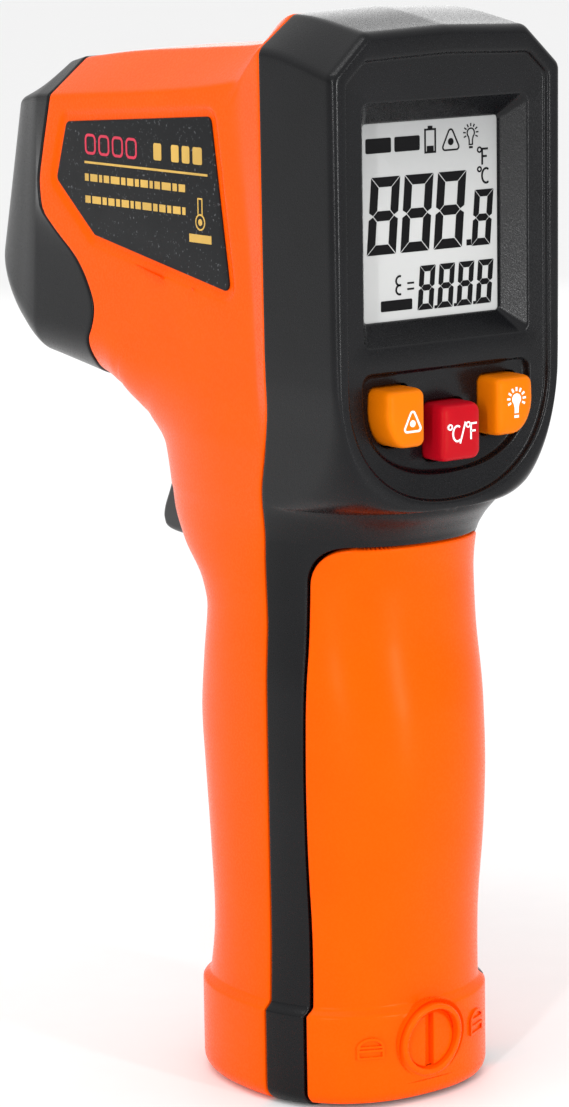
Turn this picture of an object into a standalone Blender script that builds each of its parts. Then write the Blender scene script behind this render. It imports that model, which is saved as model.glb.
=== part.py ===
"""Infrared thermometer: a pistol-shaped, battery-driven instrument that stands on its foot.

The frame's origin is the middle of the foot, +Z is up and +Y is the way the nose points. Sizes below are in
millimetres, and every mesh is scaled to metres when it is made.
"""

import math

import bmesh
import bpy
import numpy as np
from mathutils import Matrix, Vector

MM = 0.001
OBJECT = "infrared_thermometer"
CUTTERS = "cutters"

# Driving dimensions
WALL = 2.2
GAP = 0.3
CORE_Y = -0.6
GRIP_POWER = 2.3
BAND_TOP = 14.0
HOOD_TOP = 157.0
HOOD_CORNER_Z = 151.4
LIP_Y = -27.0
FACE_Y = -26.2
FACE_HALF = 19.9
FACE_DROP = 18.7
FACE_BEND_Z = 108.0
BARREL_HALF = 19.0
BARREL_FLOOR = 104.0
NOSE_RAKE = 0.27
COVER_EDGE_Y = -12.7
COVER_TOP = 83.7
LOCK_Z = 9.4
TRIGGER_PIVOT = (28.0, 99.5)
COVER_PIVOT = (-22.0, 83.0)
WINDOW = (12.2, 116.4, 144.3)
WELL = (14.8, 113.4, 147.4)
BOARD_Y = -17.9
BOARD_SCREW_Z = 150.6
SENSOR_Z = 131.0
LASER_Z = 119.2
CELL_Y = -11.0
CELL_X = 5.6
CELL_RADIUS = 5.2
CELL_LENGTH = 44.5

# Colour, roughness and metallic value of each material
FINISH = {
    "orange_shell": ((1.0, 0.13, 0.01), 0.42, 0.0),
    "dark_shell": ((0.03, 0.031, 0.033), 0.5, 0.0),
    "black_plastic": ((0.012, 0.012, 0.013), 0.45, 0.0),
    "natural_plastic": ((0.75, 0.74, 0.7), 0.5, 0.0),
    "key_amber": ((0.9, 0.3, 0.005), 0.4, 0.0),
    "key_red": ((0.55, 0.008, 0.02), 0.4, 0.0),
    "label": ((0.025, 0.026, 0.028), 0.45, 0.0),
    "window_clear": ((0.9, 0.92, 0.92), 0.05, 0.0),
    "display": ((0.6, 0.62, 0.6), 0.2, 0.0),
    "rubber": ((0.02, 0.02, 0.02), 0.8, 0.0),
    "board_green": ((0.01, 0.12, 0.04), 0.45, 0.0),
    "steel": ((0.6, 0.6, 0.62), 0.3, 1.0),
    "brass": ((0.75, 0.5, 0.18), 0.3, 1.0),
    "lens": ((0.25, 0.24, 0.26), 0.15, 0.0),
    "cell_wrap": ((0.08, 0.09, 0.1), 0.35, 0.0),
}


# ---------------------------------------------------------------- curves


def through(knots):
    """A smooth function through (station, value) pairs that never overshoots them."""
    stations = np.array([knot[0] for knot in knots], float)
    values = np.array([knot[1] for knot in knots], float)
    steps = np.diff(stations)
    slopes = np.diff(values) / steps
    before, after = slopes[:-1], slopes[1:]
    tangents = np.concatenate([[slopes[0]], np.zeros(len(slopes) - 1), [slopes[-1]]])
    same_way = before * after > 0
    total = np.where(same_way, before + after, 1.0)
    tangents[1:-1] = np.where(same_way, 2 * before * after / total, 0.0)

    def value(at):
        at = min(max(at, stations[0]), stations[-1])
        i = min(max(int(np.searchsorted(stations, at)) - 1, 0), len(steps) - 1)
        s = (at - stations[i]) / steps[i]
        rise = (3 - 2 * s) * s * s
        start = s * (1 - s) ** 2 * steps[i] * tangents[i]
        end = s * s * (s - 1) * steps[i] * tangents[i + 1]
        return float(values[i] * (1 - rise) + values[i + 1] * rise + start + end)

    return value


def bow(fraction, power):
    """Half-width of a rounded section, as a fraction, at a fraction of the way to its end."""
    return (1 - min(abs(fraction), 1.0) ** power) ** (1 / power)


def arc(centre, radius, start, end, steps):
    angles = np.radians(np.linspace(start, end, steps + 1))
    return [(centre[0] + radius * math.cos(a), centre[1] + radius * math.sin(a)) for a in angles]


def rounded(corners, radius, steps=4):
    """The closed outline through these corners with each one turned into an arc."""
    outline = []
    for i, corner in enumerate(corners):
        here = Vector(corner)
        back = (Vector(corners[i - 1]) - here).normalized()
        ahead = (Vector(corners[(i + 1) % len(corners)]) - here).normalized()
        half = back.angle(ahead) / 2
        reach = radius / math.tan(half)
        centre = here + (back + ahead).normalized() * radius / math.sin(half)
        first = (here + back * reach - centre).normalized()
        last = (here + ahead * reach - centre).normalized()
        for k in range(steps + 1):
            outline.append(tuple(centre + first.slerp(last, k / steps) * radius))
    return outline


# ---------------------------------------------------------------- the body's form

half_width = through(
    [(0, 19.85), (BAND_TOP, 19.85), (BAND_TOP + 1.6, 18.8), (32, 18.5), (62, 18.5), (74, 18.0)]
    + [(84, 17.7), (92, 18.4), (100, 19.3), (110, 20.4), (HOOD_CORNER_Z, 20.6)]
)
front = through(
    [(0, 21.3), (BAND_TOP, 21.3), (BAND_TOP + 1.6, 19.7), (24, 18.4), (34, 19.4), (46, 21.0), (55, 21.6)]
    + [(64, 20.3), (71, 19.5), (75, 21.5), (80, 27.3), (85, 30.5), (92, 31.7), (97, 32.2)]
    + [(100, 35.2), (102, 39.5), (103.4, 44)]
)
back = through(
    [(0, -21.2), (BAND_TOP, -21.2), (BAND_TOP + 1.6, -20.1), (24, -20.5), (40, -22.8), (49, -23.4)]
    + [(58, -22.9), (70, -21.0), (77, -20.8), (84, -22.3), (86.5, -24.2), (89, -26.6), (90.5, LIP_Y), (HOOD_TOP, LIP_Y)]
)
side_depth = through([(84, 1.0), (88, 0.9), (92, 0.42), (96, 0.24), (100, 0.14), (108, 0.06), (HOOD_TOP, 0.05)])
seam = through([(0, -6.3), (70, -6.1), (82, -5.4), (90, -5.8), (98, -8.0), (106, -9.8), (114, -10.2), (200, -10.2)])
hood_lift = through([(-27, 0), (-10.5, 2.3), (-7, 1.5), (-3.5, 0.0), (-1, -2.6), (2, -5.0)])
blend_in = through([(102.5, 0), (106.5, 1)])


def flat_half(z):
    """Half-width of the flat of the display face at this height."""
    if z >= FACE_BEND_Z:
        return FACE_HALF
    drop = (FACE_BEND_Z - z) / FACE_DROP
    return FACE_HALF * bow(drop, 2.2) if drop < 1 else 0.0


def grip_ring(z, inset=0.0):
    """One closed section of grip and hood: front round, flat sides, rear corners and flat rear face."""
    slant = max(0.0, z - HOOD_CORNER_Z) / (HOOD_TOP - HOOD_CORNER_Z)
    width = half_width(z) - 5.6 * slant - inset
    top_front = 23.0 - 22.0 * slant
    reach = front(z) if z < BARREL_FLOOR + 1 else top_front
    reach -= inset
    if inset:
        reach = min(reach, 29.4)
    rear = back(z) + inset
    flat = max(0.0, min(flat_half(z), half_width(z) - 0.7) - 5.6 * slant - inset * 0.9)
    corner = (width - flat, max(side_depth(z) * (CORE_Y - rear), 0.8))
    waist = width + blend_in(z) * (min(width, BARREL_HALF - 0.3 - inset) - width)
    points = []
    for k in range(9):
        angle = math.pi / 2 * (1 - k / 8)
        x = waist * math.cos(angle) ** (2 / GRIP_POWER)
        y = CORE_Y + (reach - CORE_Y) * math.sin(angle) ** (2 / GRIP_POWER)
        points.append((x, y))
    corner_y = rear + corner[1]
    points.append((waist + 0.1 * (width - waist), CORE_Y + (corner_y - CORE_Y) * 0.17))
    points.append((width, CORE_Y + (corner_y - CORE_Y) * 0.385))
    for k in range(9):
        angle = math.pi / 2 * k / 8
        x = width - corner[0] + corner[0] * math.cos(angle) ** (2 / GRIP_POWER)
        y = corner_y - corner[1] * math.sin(angle) ** (2 / GRIP_POWER)
        points.append((x, y))
    points.append((0.0, rear))
    lift = slant if z > HOOD_CORNER_Z else 0.0
    return [(x, y, z + lift * hood_lift(y)) for x, y in points]


def mirrored_ring(half):
    """A closed ring from a half that starts and ends on the centre plane."""
    return half + [(-x, y, z) for x, y, z in half[-2:0:-1]]


def foot_rings(inset):
    if inset:
        return [mirrored_ring(grip_ring(WALL, inset))]
    rings = []
    for height, pull in ((0.0, 2.4), (0.7, 0.9), (2.4, 0.0)):
        ring = [(x, y, height) for x, y, z in grip_ring(2.4, 0.0)]
        shrink = 1 - pull / half_width(0)
        rings.append(mirrored_ring([(x * shrink, y * shrink, z) for x, y, z in ring]))
    return rings


def grip_solid(name, inset=0.0):
    levels = [BAND_TOP, BAND_TOP + 1.6, 24, 34, 44, 54, 63, 70, 75, 79, 83.5, 86.5, 89, 91, 93.5, 97]
    levels += [100, 102, 103.4, BARREL_FLOOR + 0.8, 106.5, 109, 130, HOOD_CORNER_Z, HOOD_TOP]
    if inset:
        levels = [BAND_TOP, 24, 34, 44, 54, 63, 70, 77, 83.5, 88.5, 91.5, 97, 104, 109, HOOD_CORNER_Z - 2.0]
    rings = foot_rings(inset) + [mirrored_ring(grip_ring(z, inset)) for z in levels]
    if inset:
        top = mirrored_ring(grip_ring(HOOD_TOP - WALL, inset))
        rings.append([(x, min(y, 0.1 * y - 5.0), HOOD_TOP - WALL - 0.6) for x, y, z in top])
    return loft(name, rings, True)


barrel_half = through([(-9, BARREL_HALF), (46, BARREL_HALF), (50, 18.4), (54, 17.4), (57.5, 16.3), (60, 15.0), (61.2, 13.6)])
barrel_floor = through([(-9, BARREL_FLOOR), (46, BARREL_FLOOR), (50, 105.2), (54, 108), (57.5, 111.5), (60, 114.5), (61.2, 116)])
barrel_shoulder = through([(-9, 150), (0, 149.3), (46, 145.6), (54, 144.8), (60, 143.8), (61.2, 142.8)])
barrel_roof = through([(-9, 155), (0, 154.6), (46, 151), (50, 150.2), (54, 148.6), (57.5, 146.8), (60, 145.2), (61.2, 143.8)])
nose_lean = through([(-9, 0), (46, 0), (61.2, 1)])


def barrel_ring(y, inset=0.0):
    """One closed section of barrel and nose; towards the front it leans back with the nose's face."""
    width = barrel_half(y) - inset
    floor = barrel_floor(y) + inset
    shoulder = barrel_shoulder(y) - inset * 0.6
    roof = barrel_roof(y) - inset
    turn = 5.5 - inset * 0.5
    points = [(0.0, floor), (width - turn, floor)]
    for k in range(1, 4):
        angle = math.pi / 2 * k / 4
        points.append((width - turn * (1 - math.sin(angle)), floor + turn * (1 - math.cos(angle))))
    points += [(width, floor + turn), (width, shoulder), (width - 2.6, shoulder + (roof - shoulder) * 0.6)]
    points += [(width - 6.5, roof), (0.0, roof + 0.3)]
    lean = nose_lean(y) * NOSE_RAKE
    return [(x, y + lean * (143.5 - z), z) for x, z in points]


def barrel_solid(name, inset=0.0):
    stations = [-9, 0, 20, 40, 46, 50, 54, 57.5, 60, 61.2]
    if inset:
        stations = [-7, 20, 46, 50, 54, 57.5, 59.2]
    return loft(name, [mirrored_ring(barrel_ring(y, inset)) for y in stations], True)


# ---------------------------------------------------------------- mesh helpers


def collection(name):
    found = bpy.data.collections.get(name)
    if found is None:
        found = bpy.data.collections.new(name)
        bpy.context.scene.collection.children.link(found)
    return found


def add_object(name, shape, helper=True):
    mesh = bpy.data.meshes.new(name)
    bmesh.ops.recalc_face_normals(shape, faces=shape.faces)
    shape.to_mesh(mesh)
    shape.free()
    obj = bpy.data.objects.new(name, mesh)
    collection(CUTTERS if helper else OBJECT).objects.link(obj)
    obj.hide_render = helper
    obj.display_type = "WIRE" if helper else "TEXTURED"
    return obj


def cap_ring(shape, row):
    """Closes a ring that is the same on both sides of the centre plane with a ladder of faces across it."""
    half = len(row) // 2
    for i in range(half):
        corners = [row[i], row[i + 1], row[-i - 1], row[-i]]
        shape.faces.new(list(dict.fromkeys(corners)))


def loft(name, rings, ladder=False):
    """A closed solid through rings of equal count, in millimetres."""
    shape = bmesh.new()
    rows = [[shape.verts.new(Vector(point) * MM) for point in ring] for ring in rings]
    count = len(rings[0])
    for lower, upper in zip(rows, rows[1:]):
        for i in range(count):
            j = (i + 1) % count
            shape.faces.new((lower[i], lower[j], upper[j], upper[i]))
    for row in (rows[0], rows[-1]):
        if ladder:
            cap_ring(shape, row)
        else:
            shape.faces.new(row)
    bmesh.ops.remove_doubles(shape, verts=shape.verts, dist=0.00001)
    bmesh.ops.dissolve_degenerate(shape, edges=shape.edges, dist=0.00001)
    return add_object(name, shape)


def block(name, low, high):
    """A box between two corners, in millimetres."""
    shape = bmesh.new()
    size = Vector(high) - Vector(low)
    centre = (Vector(high) + Vector(low)) / 2
    placing = Matrix.Translation(centre * MM) @ Matrix.Diagonal((*(size * MM), 1.0))
    bmesh.ops.create_cube(shape, size=1.0, matrix=placing)
    return add_object(name, shape)


def rod(name, start, end, radius, end_radius=None, sides=20):
    """A cylinder or cone from start to end, in millimetres."""
    shape = bmesh.new()
    run = Vector(end) - Vector(start)
    turn = Vector((0, 0, 1)).rotation_difference(run).to_matrix().to_4x4()
    placing = Matrix.Translation((Vector(start) + run / 2) * MM) @ turn
    far = radius if end_radius is None else end_radius
    bmesh.ops.create_cone(
        shape,
        cap_ends=True,
        segments=sides,
        radius1=radius * MM,
        radius2=far * MM,
        depth=run.length * MM,
        matrix=placing,
    )
    return add_object(name, shape)


AXIS_TURNS = {
    "X": Matrix(((0, 0, 1, 0), (1, 0, 0, 0), (0, 1, 0, 0), (0, 0, 0, 1))),
    "Y": Matrix(((1, 0, 0, 0), (0, 0, 1, 0), (0, 1, 0, 0), (0, 0, 0, 1))),
    "Z": Matrix.Identity(4),
}


def slab(name, outline, axis, low, high):
    """A flat outline, given in the two other axes, run along one axis from low to high."""
    curve = bpy.data.curves.new(name, "CURVE")
    curve.dimensions = "2D"
    curve.fill_mode = "BOTH"
    curve.extrude = (high - low) / 2 * MM
    line = curve.splines.new("POLY")
    line.points.add(len(outline) - 1)
    for point, (u, v) in zip(line.points, outline):
        point.co = (u * MM, v * MM, 0.0, 1.0)
    line.use_cyclic_u = True
    drawn = bpy.data.objects.new(name, curve)
    bpy.context.scene.collection.objects.link(drawn)
    shape = bmesh.new()
    bpy.context.view_layer.update()
    mesh = bpy.data.meshes.new_from_object(drawn.evaluated_get(bpy.context.evaluated_depsgraph_get()))
    shape.from_mesh(mesh)
    bmesh.ops.remove_doubles(shape, verts=shape.verts, dist=0.0000001)
    shape.transform(AXIS_TURNS[axis] @ Matrix.Translation((0, 0, (low + high) / 2 * MM)))
    bpy.data.objects.remove(drawn)
    bpy.data.curves.remove(curve)
    bpy.data.meshes.remove(mesh)
    return add_object(name, shape)


def turned(name, profile, start, axis, steps=24):
    """A profile of (radius, distance) pairs, from top to bottom, turned about an axis through start."""
    shape = bmesh.new()
    verts = [shape.verts.new((radius * MM, 0, height * MM)) for radius, height in profile]
    for upper, lower in zip(verts, verts[1:]):
        shape.edges.new((upper, lower))
    obj = add_object(name, shape)
    screw = obj.modifiers.new("turn", "SCREW")
    screw.steps = steps
    screw.render_steps = steps
    screw.use_merge_vertices = True
    screw.merge_threshold = 0.00001
    turn = Vector((0, 0, 1)).rotation_difference(Vector(axis)).to_matrix().to_4x4()
    obj.matrix_world = Matrix.Translation(Vector(start) * MM) @ turn
    settle(obj)
    return obj


def coil(name, start, axis, radii, wire, turns, length):
    """A round-wire coil along an axis; its radius runs evenly between the two radii."""
    curve = bpy.data.curves.new(name, "CURVE")
    curve.dimensions = "3D"
    curve.bevel_depth = wire * MM
    curve.bevel_resolution = 1
    curve.use_fill_caps = True
    line = curve.splines.new("POLY")
    count = int(turns * 10)
    line.points.add(count)
    for i, point in enumerate(line.points):
        share = i / count
        angle = 2 * math.pi * turns * share
        radius = (radii[0] + (radii[1] - radii[0]) * share) * MM
        point.co = (radius * math.cos(angle), radius * math.sin(angle), length * share * MM, 1.0)
    obj = bpy.data.objects.new(name, curve)
    collection(CUTTERS).objects.link(obj)
    obj.hide_render = True
    turn = Vector((0, 0, 1)).rotation_difference(Vector(axis)).to_matrix().to_4x4()
    obj.matrix_world = Matrix.Translation(Vector(start) * MM) @ turn
    return obj


def settle(obj):
    """Applies an object's modifiers and its place, so that its mesh holds the final shape."""
    bpy.context.view_layer.update()
    evaluated = obj.evaluated_get(bpy.context.evaluated_depsgraph_get())
    mesh = bpy.data.meshes.new_from_object(evaluated)
    mesh.transform(obj.matrix_world)
    obj.modifiers.clear()
    obj.matrix_world = Matrix.Identity(4)
    old = obj.data
    obj.data = mesh
    bpy.data.meshes.remove(old)


def boolean(target, tools, operation):
    for tool in tools:
        modifier = target.modifiers.new(operation.lower(), "BOOLEAN")
        modifier.operation = operation
        modifier.object = tool
        modifier.solver = "EXACT"
    return target


def cut(target, *tools):
    return boolean(target, tools, "DIFFERENCE")


def join(target, *tools):
    return boolean(target, tools, "UNION")


def keep(target, *tools):
    return boolean(target, tools, "INTERSECT")


def copy_of(source, name):
    obj = bpy.data.objects.new(name, source.data.copy())
    collection(CUTTERS).objects.link(obj)
    obj.hide_render = True
    obj.display_type = "WIRE"
    return obj


def make_materials():
    made = {}
    for name, (colour, roughness, metallic) in FINISH.items():
        material = bpy.data.materials.new(name)
        material.use_nodes = True
        shader = material.node_tree.nodes["Principled BSDF"]
        shader.inputs["Base Color"].default_value = (*colour, 1.0)
        shader.inputs["Roughness"].default_value = roughness
        shader.inputs["Metallic"].default_value = metallic
        made[name] = material
    return made


def node(obj, name, material, origin=None):
    """Makes a finished object a named sub-part: its own mesh, a material and its origin on its joint's axis."""
    if obj.type == "CURVE":
        mesh = bpy.data.meshes.new_from_object(obj.evaluated_get(bpy.context.evaluated_depsgraph_get()))
        shape = bmesh.new()
        shape.from_mesh(mesh)
        bmesh.ops.remove_doubles(shape, verts=shape.verts, dist=0.0000001)
        shape.transform(obj.matrix_world)
        bpy.data.objects.remove(obj)
        obj = add_object(name, shape)
    else:
        settle(obj)
    obj.name = name
    obj.data.name = name
    obj.data.materials.clear()
    obj.data.materials.append(material)
    obj.data.shade_smooth()
    obj.data.set_sharp_from_angle(angle=math.radians(32))
    if origin is not None:
        obj.data.transform(Matrix.Translation(-Vector(origin) * MM))
        obj.location = Vector(origin) * MM
    for owner in list(obj.users_collection):
        owner.objects.unlink(obj)
    collection(OBJECT).objects.link(obj)
    obj.hide_render = False
    obj.display_type = "TEXTURED"
    return obj


# ---------------------------------------------------------------- regions that part the body


def seam_region(name, offset, rearward):
    """Everything behind, or ahead of, the seam between the front housing and the rear frame."""
    heights = [-5, 30, 60, 70, 76, 82, 86, 90, 94, 98, 102, 106, 110, 170]
    line = [(seam(z) + offset, z) for z in heights]
    far = -60 if rearward else 110
    return slab(name, line + [(far, 170), (far, -5)], "X", -40, 40)


def cover_region(name, grow, foot):
    edge = COVER_EDGE_Y + grow
    top = COVER_TOP + grow
    outline = arc((edge - 5.5, top - 5.5), 5.5, 0, 90, 6)
    return slab(name, outline + [(-60, top), (-60, foot), (edge, foot)], "X", -40, 40)


nose_seam = through([(100, 42), (103, 40.4), (106, 37.8), (109.2, 37.0), (111, 35.9), (114, 35.2), (118, 36.9)]
    + [(121.6, 40), (125, 45), (128.5, 48.9), (132, 49.3), (137, 48.2), (143, 46.5), (148, 45.3), (160, 45)])


def nose_region(name, offset):
    heights = [95, 103, 106, 109.2, 111, 114, 118, 121.6, 125, 128.5, 132, 137, 143, 148, 165]
    line = [(nose_seam(z) + offset, z) for z in heights]
    return slab(name, line + [(110, 165), (110, 95)], "X", -40, 40)


# ---------------------------------------------------------------- shells


def hollow_body():
    """The whole casing in one piece, before the seams part it."""
    body = grip_solid("body")
    join(body, barrel_solid("body_barrel"))
    cut(body, grip_solid("body_core", WALL), barrel_solid("barrel_core", WALL))
    settle(body)
    return body


SCREW_PLACES = {
    "lower": (9.0, 8.5, 17.2),
    "middle": (6.0, 46.0, 16.4),
    "front": (27.0, 112.5, 18.0),
    "rear": (-3.0, 146.0, 17.8),
}


def label_outline(shrink):
    corners = [(1.2, 119.2), (34.0, 124.8), (44.0, 132.6), (41.2, 141.8), (3.2, 144.6)]
    middle = Vector((24.0, 134.0))
    pulled = []
    for corner in corners:
        away = Vector(corner) - middle
        pulled.append(tuple(middle + away * (1 - shrink / away.length)))
    return rounded(pulled, 2.2, 3)


def front_housing(body, side):
    """One half of the front housing, -1 for left and 1 for right."""
    name = "front_housing_left" if side < 0 else "front_housing_right"
    shell = copy_of(body, name)
    low, high = (-60, -0.15) if side < 0 else (0.15, 60)
    half = block(name + "_half", (low, -50, -10), (high, 120, 200))
    ahead = seam_region(name + "_ahead", GAP / 2, False)
    keep(shell, ahead, half)
    cut(shell, nose_region(name + "_nose", -GAP))
    cut(shell, rod(name + "_foot", (0, 0, -5), (0, 0, 5), 9.3, sides=32))
    settle(shell)
    for place, (y, z, reach) in SCREW_PLACES.items():
        post = rod(name + "_post_" + place, (side * 0.15, y, z), (side * reach, y, z), 2.7, sides=16)
        join(shell, post)
    pin_y, pin_z = TRIGGER_PIVOT
    join(shell, rod(name + "_pin_post", (side * 6.0, pin_y, pin_z), (side * 9.2, pin_y, pin_z), 2.4))
    for rib_y in (9.8, 13.1):
        low, high = sorted_pair(side * 6.0, side * 15.6, rib_y, rib_y + 1.5, 92.4, 96.0)
        join(shell, block(f"{name}_rib_{rib_y:.0f}", low, high))
    settle(shell)
    for place, (y, z, reach) in SCREW_PLACES.items():
        if side < 0:
            cut(shell, rod(name + "_pilot_" + place, (-9.5, y, z), (1, y, z), 1.4, sides=12))
        else:
            cut(shell, rod(name + "_sink_" + place, (9.0, y, z), (40, y, z), 2.6, sides=16))
            cut(shell, rod(name + "_bore_" + place, (-1, y, z), (12, y, z), 1.5, sides=12))
    cut(shell, rod(name + "_pin_bore", (side * 5, pin_y, pin_z), (side * 8.8, pin_y, pin_z), 1.25, sides=16))
    cut(shell, block(name + "_slot", (-5.5, 20, 77.2), (5.5, 60, 99.0)))
    cut(shell, block(name + "_pocket", (-5.5, 20, 98.5), (5.5, 34.0, 103.2)))
    low, high = sorted((side * (BARREL_HALF - 0.9), side * 30))
    cut(shell, slab(name + "_label_pocket", label_outline(0.0), "X", low, high))
    return shell


def sorted_pair(x0, x1, y0, y1, z0, z1):
    """The low and high corners of a box whose X limits may come either way round."""
    return (min(x0, x1), y0, z0), (max(x0, x1), y1, z1)


def label_plate(side):
    low, high = sorted((side * (BARREL_HALF - 0.6), side * (BARREL_HALF - 0.1)))
    name = "label_left" if side < 0 else "label_right"
    return slab(name, label_outline(GAP), "X", low, high)


def face_outline(shrink, top=154.6):
    """The display face's own outline: round below, straight sides and slanted upper corners."""
    half = FACE_HALF - shrink
    drop = FACE_DROP - shrink
    bottom = []
    for k in range(17):
        angle = math.pi * k / 16
        x = math.copysign(abs(math.cos(angle)) ** (2 / 2.2), math.cos(angle)) * half
        bottom.append((-x, FACE_BEND_Z - drop * math.sin(angle) ** (2 / 2.2)))
    slope = half - 14.2 + shrink
    return bottom + [(half, top - slope), (half - slope, top), (slope - half, top), (-half, top - slope)]


def key_pocket_outline(grow):
    """The half-round dish that the keys sit in."""
    top = 109.6 + grow
    half = 15.0 + grow
    bottom = []
    for k in range(13):
        angle = math.pi * k / 12
        x = math.copysign(abs(math.cos(angle)) ** 0.85, math.cos(angle)) * half
        bottom.append((-x, 106.0 - (11.4 + grow) * math.sin(angle) ** 0.85))
    return bottom + [(half, top - 1.0), (half - 1.0, top), (1.0 - half, top), (-half, top - 1.0)]


def outer_key_outline(side, grow=0.0):
    """An outer key's front: straight inner and upper edges, and a round lower outer corner."""
    inner, outer = 5.5 - grow, 14.0 + grow
    top, bottom = 108.0 + grow, 99.4 - grow
    corners = [(inner, bottom), (inner + 3.6, bottom), (outer - 0.6, 103.6), (outer, top), (inner, top)]
    outline = rounded(corners, 0.9, 3)
    return [(side * x, z) for x, z in outline]


def centre_key_outline(grow=0.0):
    half = 4.5 + grow
    return rounded([(-half, 96.4 - grow), (half, 96.4 - grow), (half, 105.2 + grow), (-half, 105.2 + grow)], 1.2, 3)


def rear_frame(body):
    """The dark one-piece frame: hood round the display, strips down the grip, and the foot's floor."""
    shell = copy_of(body, "rear_frame")
    keep(shell, seam_region("frame_behind", -GAP / 2, True))
    cut(shell, cover_region("frame_cover_cut", 0.0, -5.0))
    settle(shell)
    half, low, high = WELL
    join(shell, block("well_block", (-half - 1.8, -26.0, low - 1.8), (half + 1.8, -22.2, high + 1.8)))
    join(shell, slab("pocket_block", key_pocket_outline(1.2), "Y", -26.0, -23.2))
    join(shell, rod("foot_disc", (0, 0, 0), (0, 0, WALL), 9.0, sides=32))
    for side in (-1, 1):
        join(shell, rod(f"board_post_{side}", (side * 10.5, -25.4, BOARD_SCREW_Z), (side * 10.5, -18.2, BOARD_SCREW_Z), 1.9, sides=12))
    settle(shell)
    cut(shell, slab("face_cut", face_outline(1.4), "Y", -40, FACE_Y))
    funnel = loft(
        "well_cut",
        [
            [(sx * (half + 1.2), -28.0, z + dz) for sx, z, dz in ((-1, low, -1.4), (1, low, -1.4), (1, high, 1.4), (-1, high, 1.4))],
            [(sx * WINDOW[0], -23.0, z) for sx, z in ((-1, WINDOW[1]), (1, WINDOW[1]), (1, WINDOW[2]), (-1, WINDOW[2]))],
            [(sx * WINDOW[0], -21.0, z) for sx, z in ((-1, WINDOW[1]), (1, WINDOW[1]), (1, WINDOW[2]), (-1, WINDOW[2]))],
        ],
    )
    cut(shell, funnel)
    cut(shell, slab("pocket_cut", key_pocket_outline(0.0), "Y", -40, -25.2))
    cut(shell, slab("centre_key_hole", centre_key_outline(GAP), "Y", -40, -20))
    for side in (-1, 1):
        cut(shell, slab(f"outer_key_hole_{side}", outer_key_outline(side, GAP), "Y", -40, -20))
        cut(shell, rod(f"board_pilot_{side}", (side * 10.5, -23, BOARD_SCREW_Z), (side * 10.5, -17, BOARD_SCREW_Z), 1.2, sides=10))
    return shell


def battery_cover(body):
    shell = copy_of(body, "battery_cover")
    keep(shell, cover_region("cover_keep", -GAP, 0.6))
    settle(shell)
    join(shell, rod("lock_boss", (0, -22.0, LOCK_Z), (0, -17.6, LOCK_Z), 6.9, sides=32))
    join(shell, block("cover_tongue_root", (-5.0, -20.3, 79.1), (5.0, -17.6, 83.2)))
    join(shell, block("cover_tongue", (-5.0, -18.9, 82.1), (5.0, -17.6, 86.4)))
    settle(shell)
    cut(shell, rod("knob_sink", (0, -40, LOCK_Z), (0, -19.0, LOCK_Z), 4.9, sides=32))
    cut(shell, rod("knob_bore", (0, -21, LOCK_Z), (0, -10, LOCK_Z), 3.0, sides=24))
    return shell


def nose_cap(body):
    shell = copy_of(body, "nose_cap")
    keep(shell, nose_region("nose_keep", 0.0))
    settle(shell)
    cut(shell, rod("sensor_mouth", (0, 50, SENSOR_Z), (0, 90, SENSOR_Z), 7.6, sides=32))
    cut(shell, rod("laser_mouth", (0, 50, LASER_Z), (0, 90, LASER_Z), 2.2, sides=16))
    cut(shell, rod("laser_seat", (0, 50, LASER_Z), (0, 65.4, LASER_Z), 3.3, sides=16))
    return shell


# ---------------------------------------------------------------- moving pieces


def trigger():
    y, z = TRIGGER_PIVOT
    outline = [(30.4, 101.6), (32.6, 98.2), (33.9, 95.0), (34.3, 90.0), (35.0, 85.0), (36.5, 80.8), (36.5, 79.4), (35.4, 78.2)]
    outline += [(29.5, 77.9), (24.6, 79.4), (23.4, 86.0), (23.8, 96.0), (25.2, 101.0), (27.8, 102.5)]
    blade = slab("trigger", outline, "X", -5.0, 5.0)
    cut(blade, rod("trigger_bore", (-10, y, z), (10, y, z), 1.25, sides=16))
    hollow = [(26.0, 81.5), (30.0, 80.6), (31.5, 87.0), (31.0, 94.5), (26.0, 94.5)]
    cut(blade, slab("trigger_hollow_left", hollow, "X", -8.0, -0.8))
    cut(blade, slab("trigger_hollow_right", hollow, "X", 0.8, 8.0))
    cut(blade, block("trigger_spring_room", (-1.7, 20.0, z - 2.5), (1.7, y + 2.4, z + 6.0)))
    return blade


def key(name, outline, centre, flange):
    """A key: crowned cap in the dish, and a tab behind the panel that keeps it in."""
    middle = Vector(centre)
    rings = []
    for depth, scale in ((-22.7, 1.0), (-27.4, 1.0), (-28.9, 0.93), (-29.5, 0.74)):
        rings.append([(middle.x + (x - middle.x) * scale, depth, middle.y + (z - middle.y) * scale) for x, z in outline])
    cap = loft(name, rings)
    low, high = (flange[0], -22.9, flange[1]), (flange[2], -22.4, flange[3])
    join(cap, block(name + "_tab", low, high))
    return cap


def lock_knob():
    profile = [(0, 3.2), (3.9, 3.2), (4.6, 2.5), (4.6, 0.0), (2.7, 0.0), (2.7, -2.1), (1.25, -2.1), (1.25, 0.4), (0, 0.4)]
    knob = turned("lock_knob", profile, (0, -19.3, LOCK_Z), (0, -1, 0), 28)
    cut(knob, block("coin_slot", (-0.85, -30, LOCK_Z - 8), (0.85, -21.3, LOCK_Z + 8)))
    return knob


def lock_cam():
    outline = arc((3.6, LOCK_Z), 2.2, -90, 90, 6) + arc((-3.6, LOCK_Z), 2.2, 90, 270, 6)
    cam = slab("lock_cam", outline, "Y", -16.9, -15.6)
    cut(cam, rod("cam_bore", (0, -20, LOCK_Z), (0, -10, LOCK_Z), 1.3, sides=12))
    return cam


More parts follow.
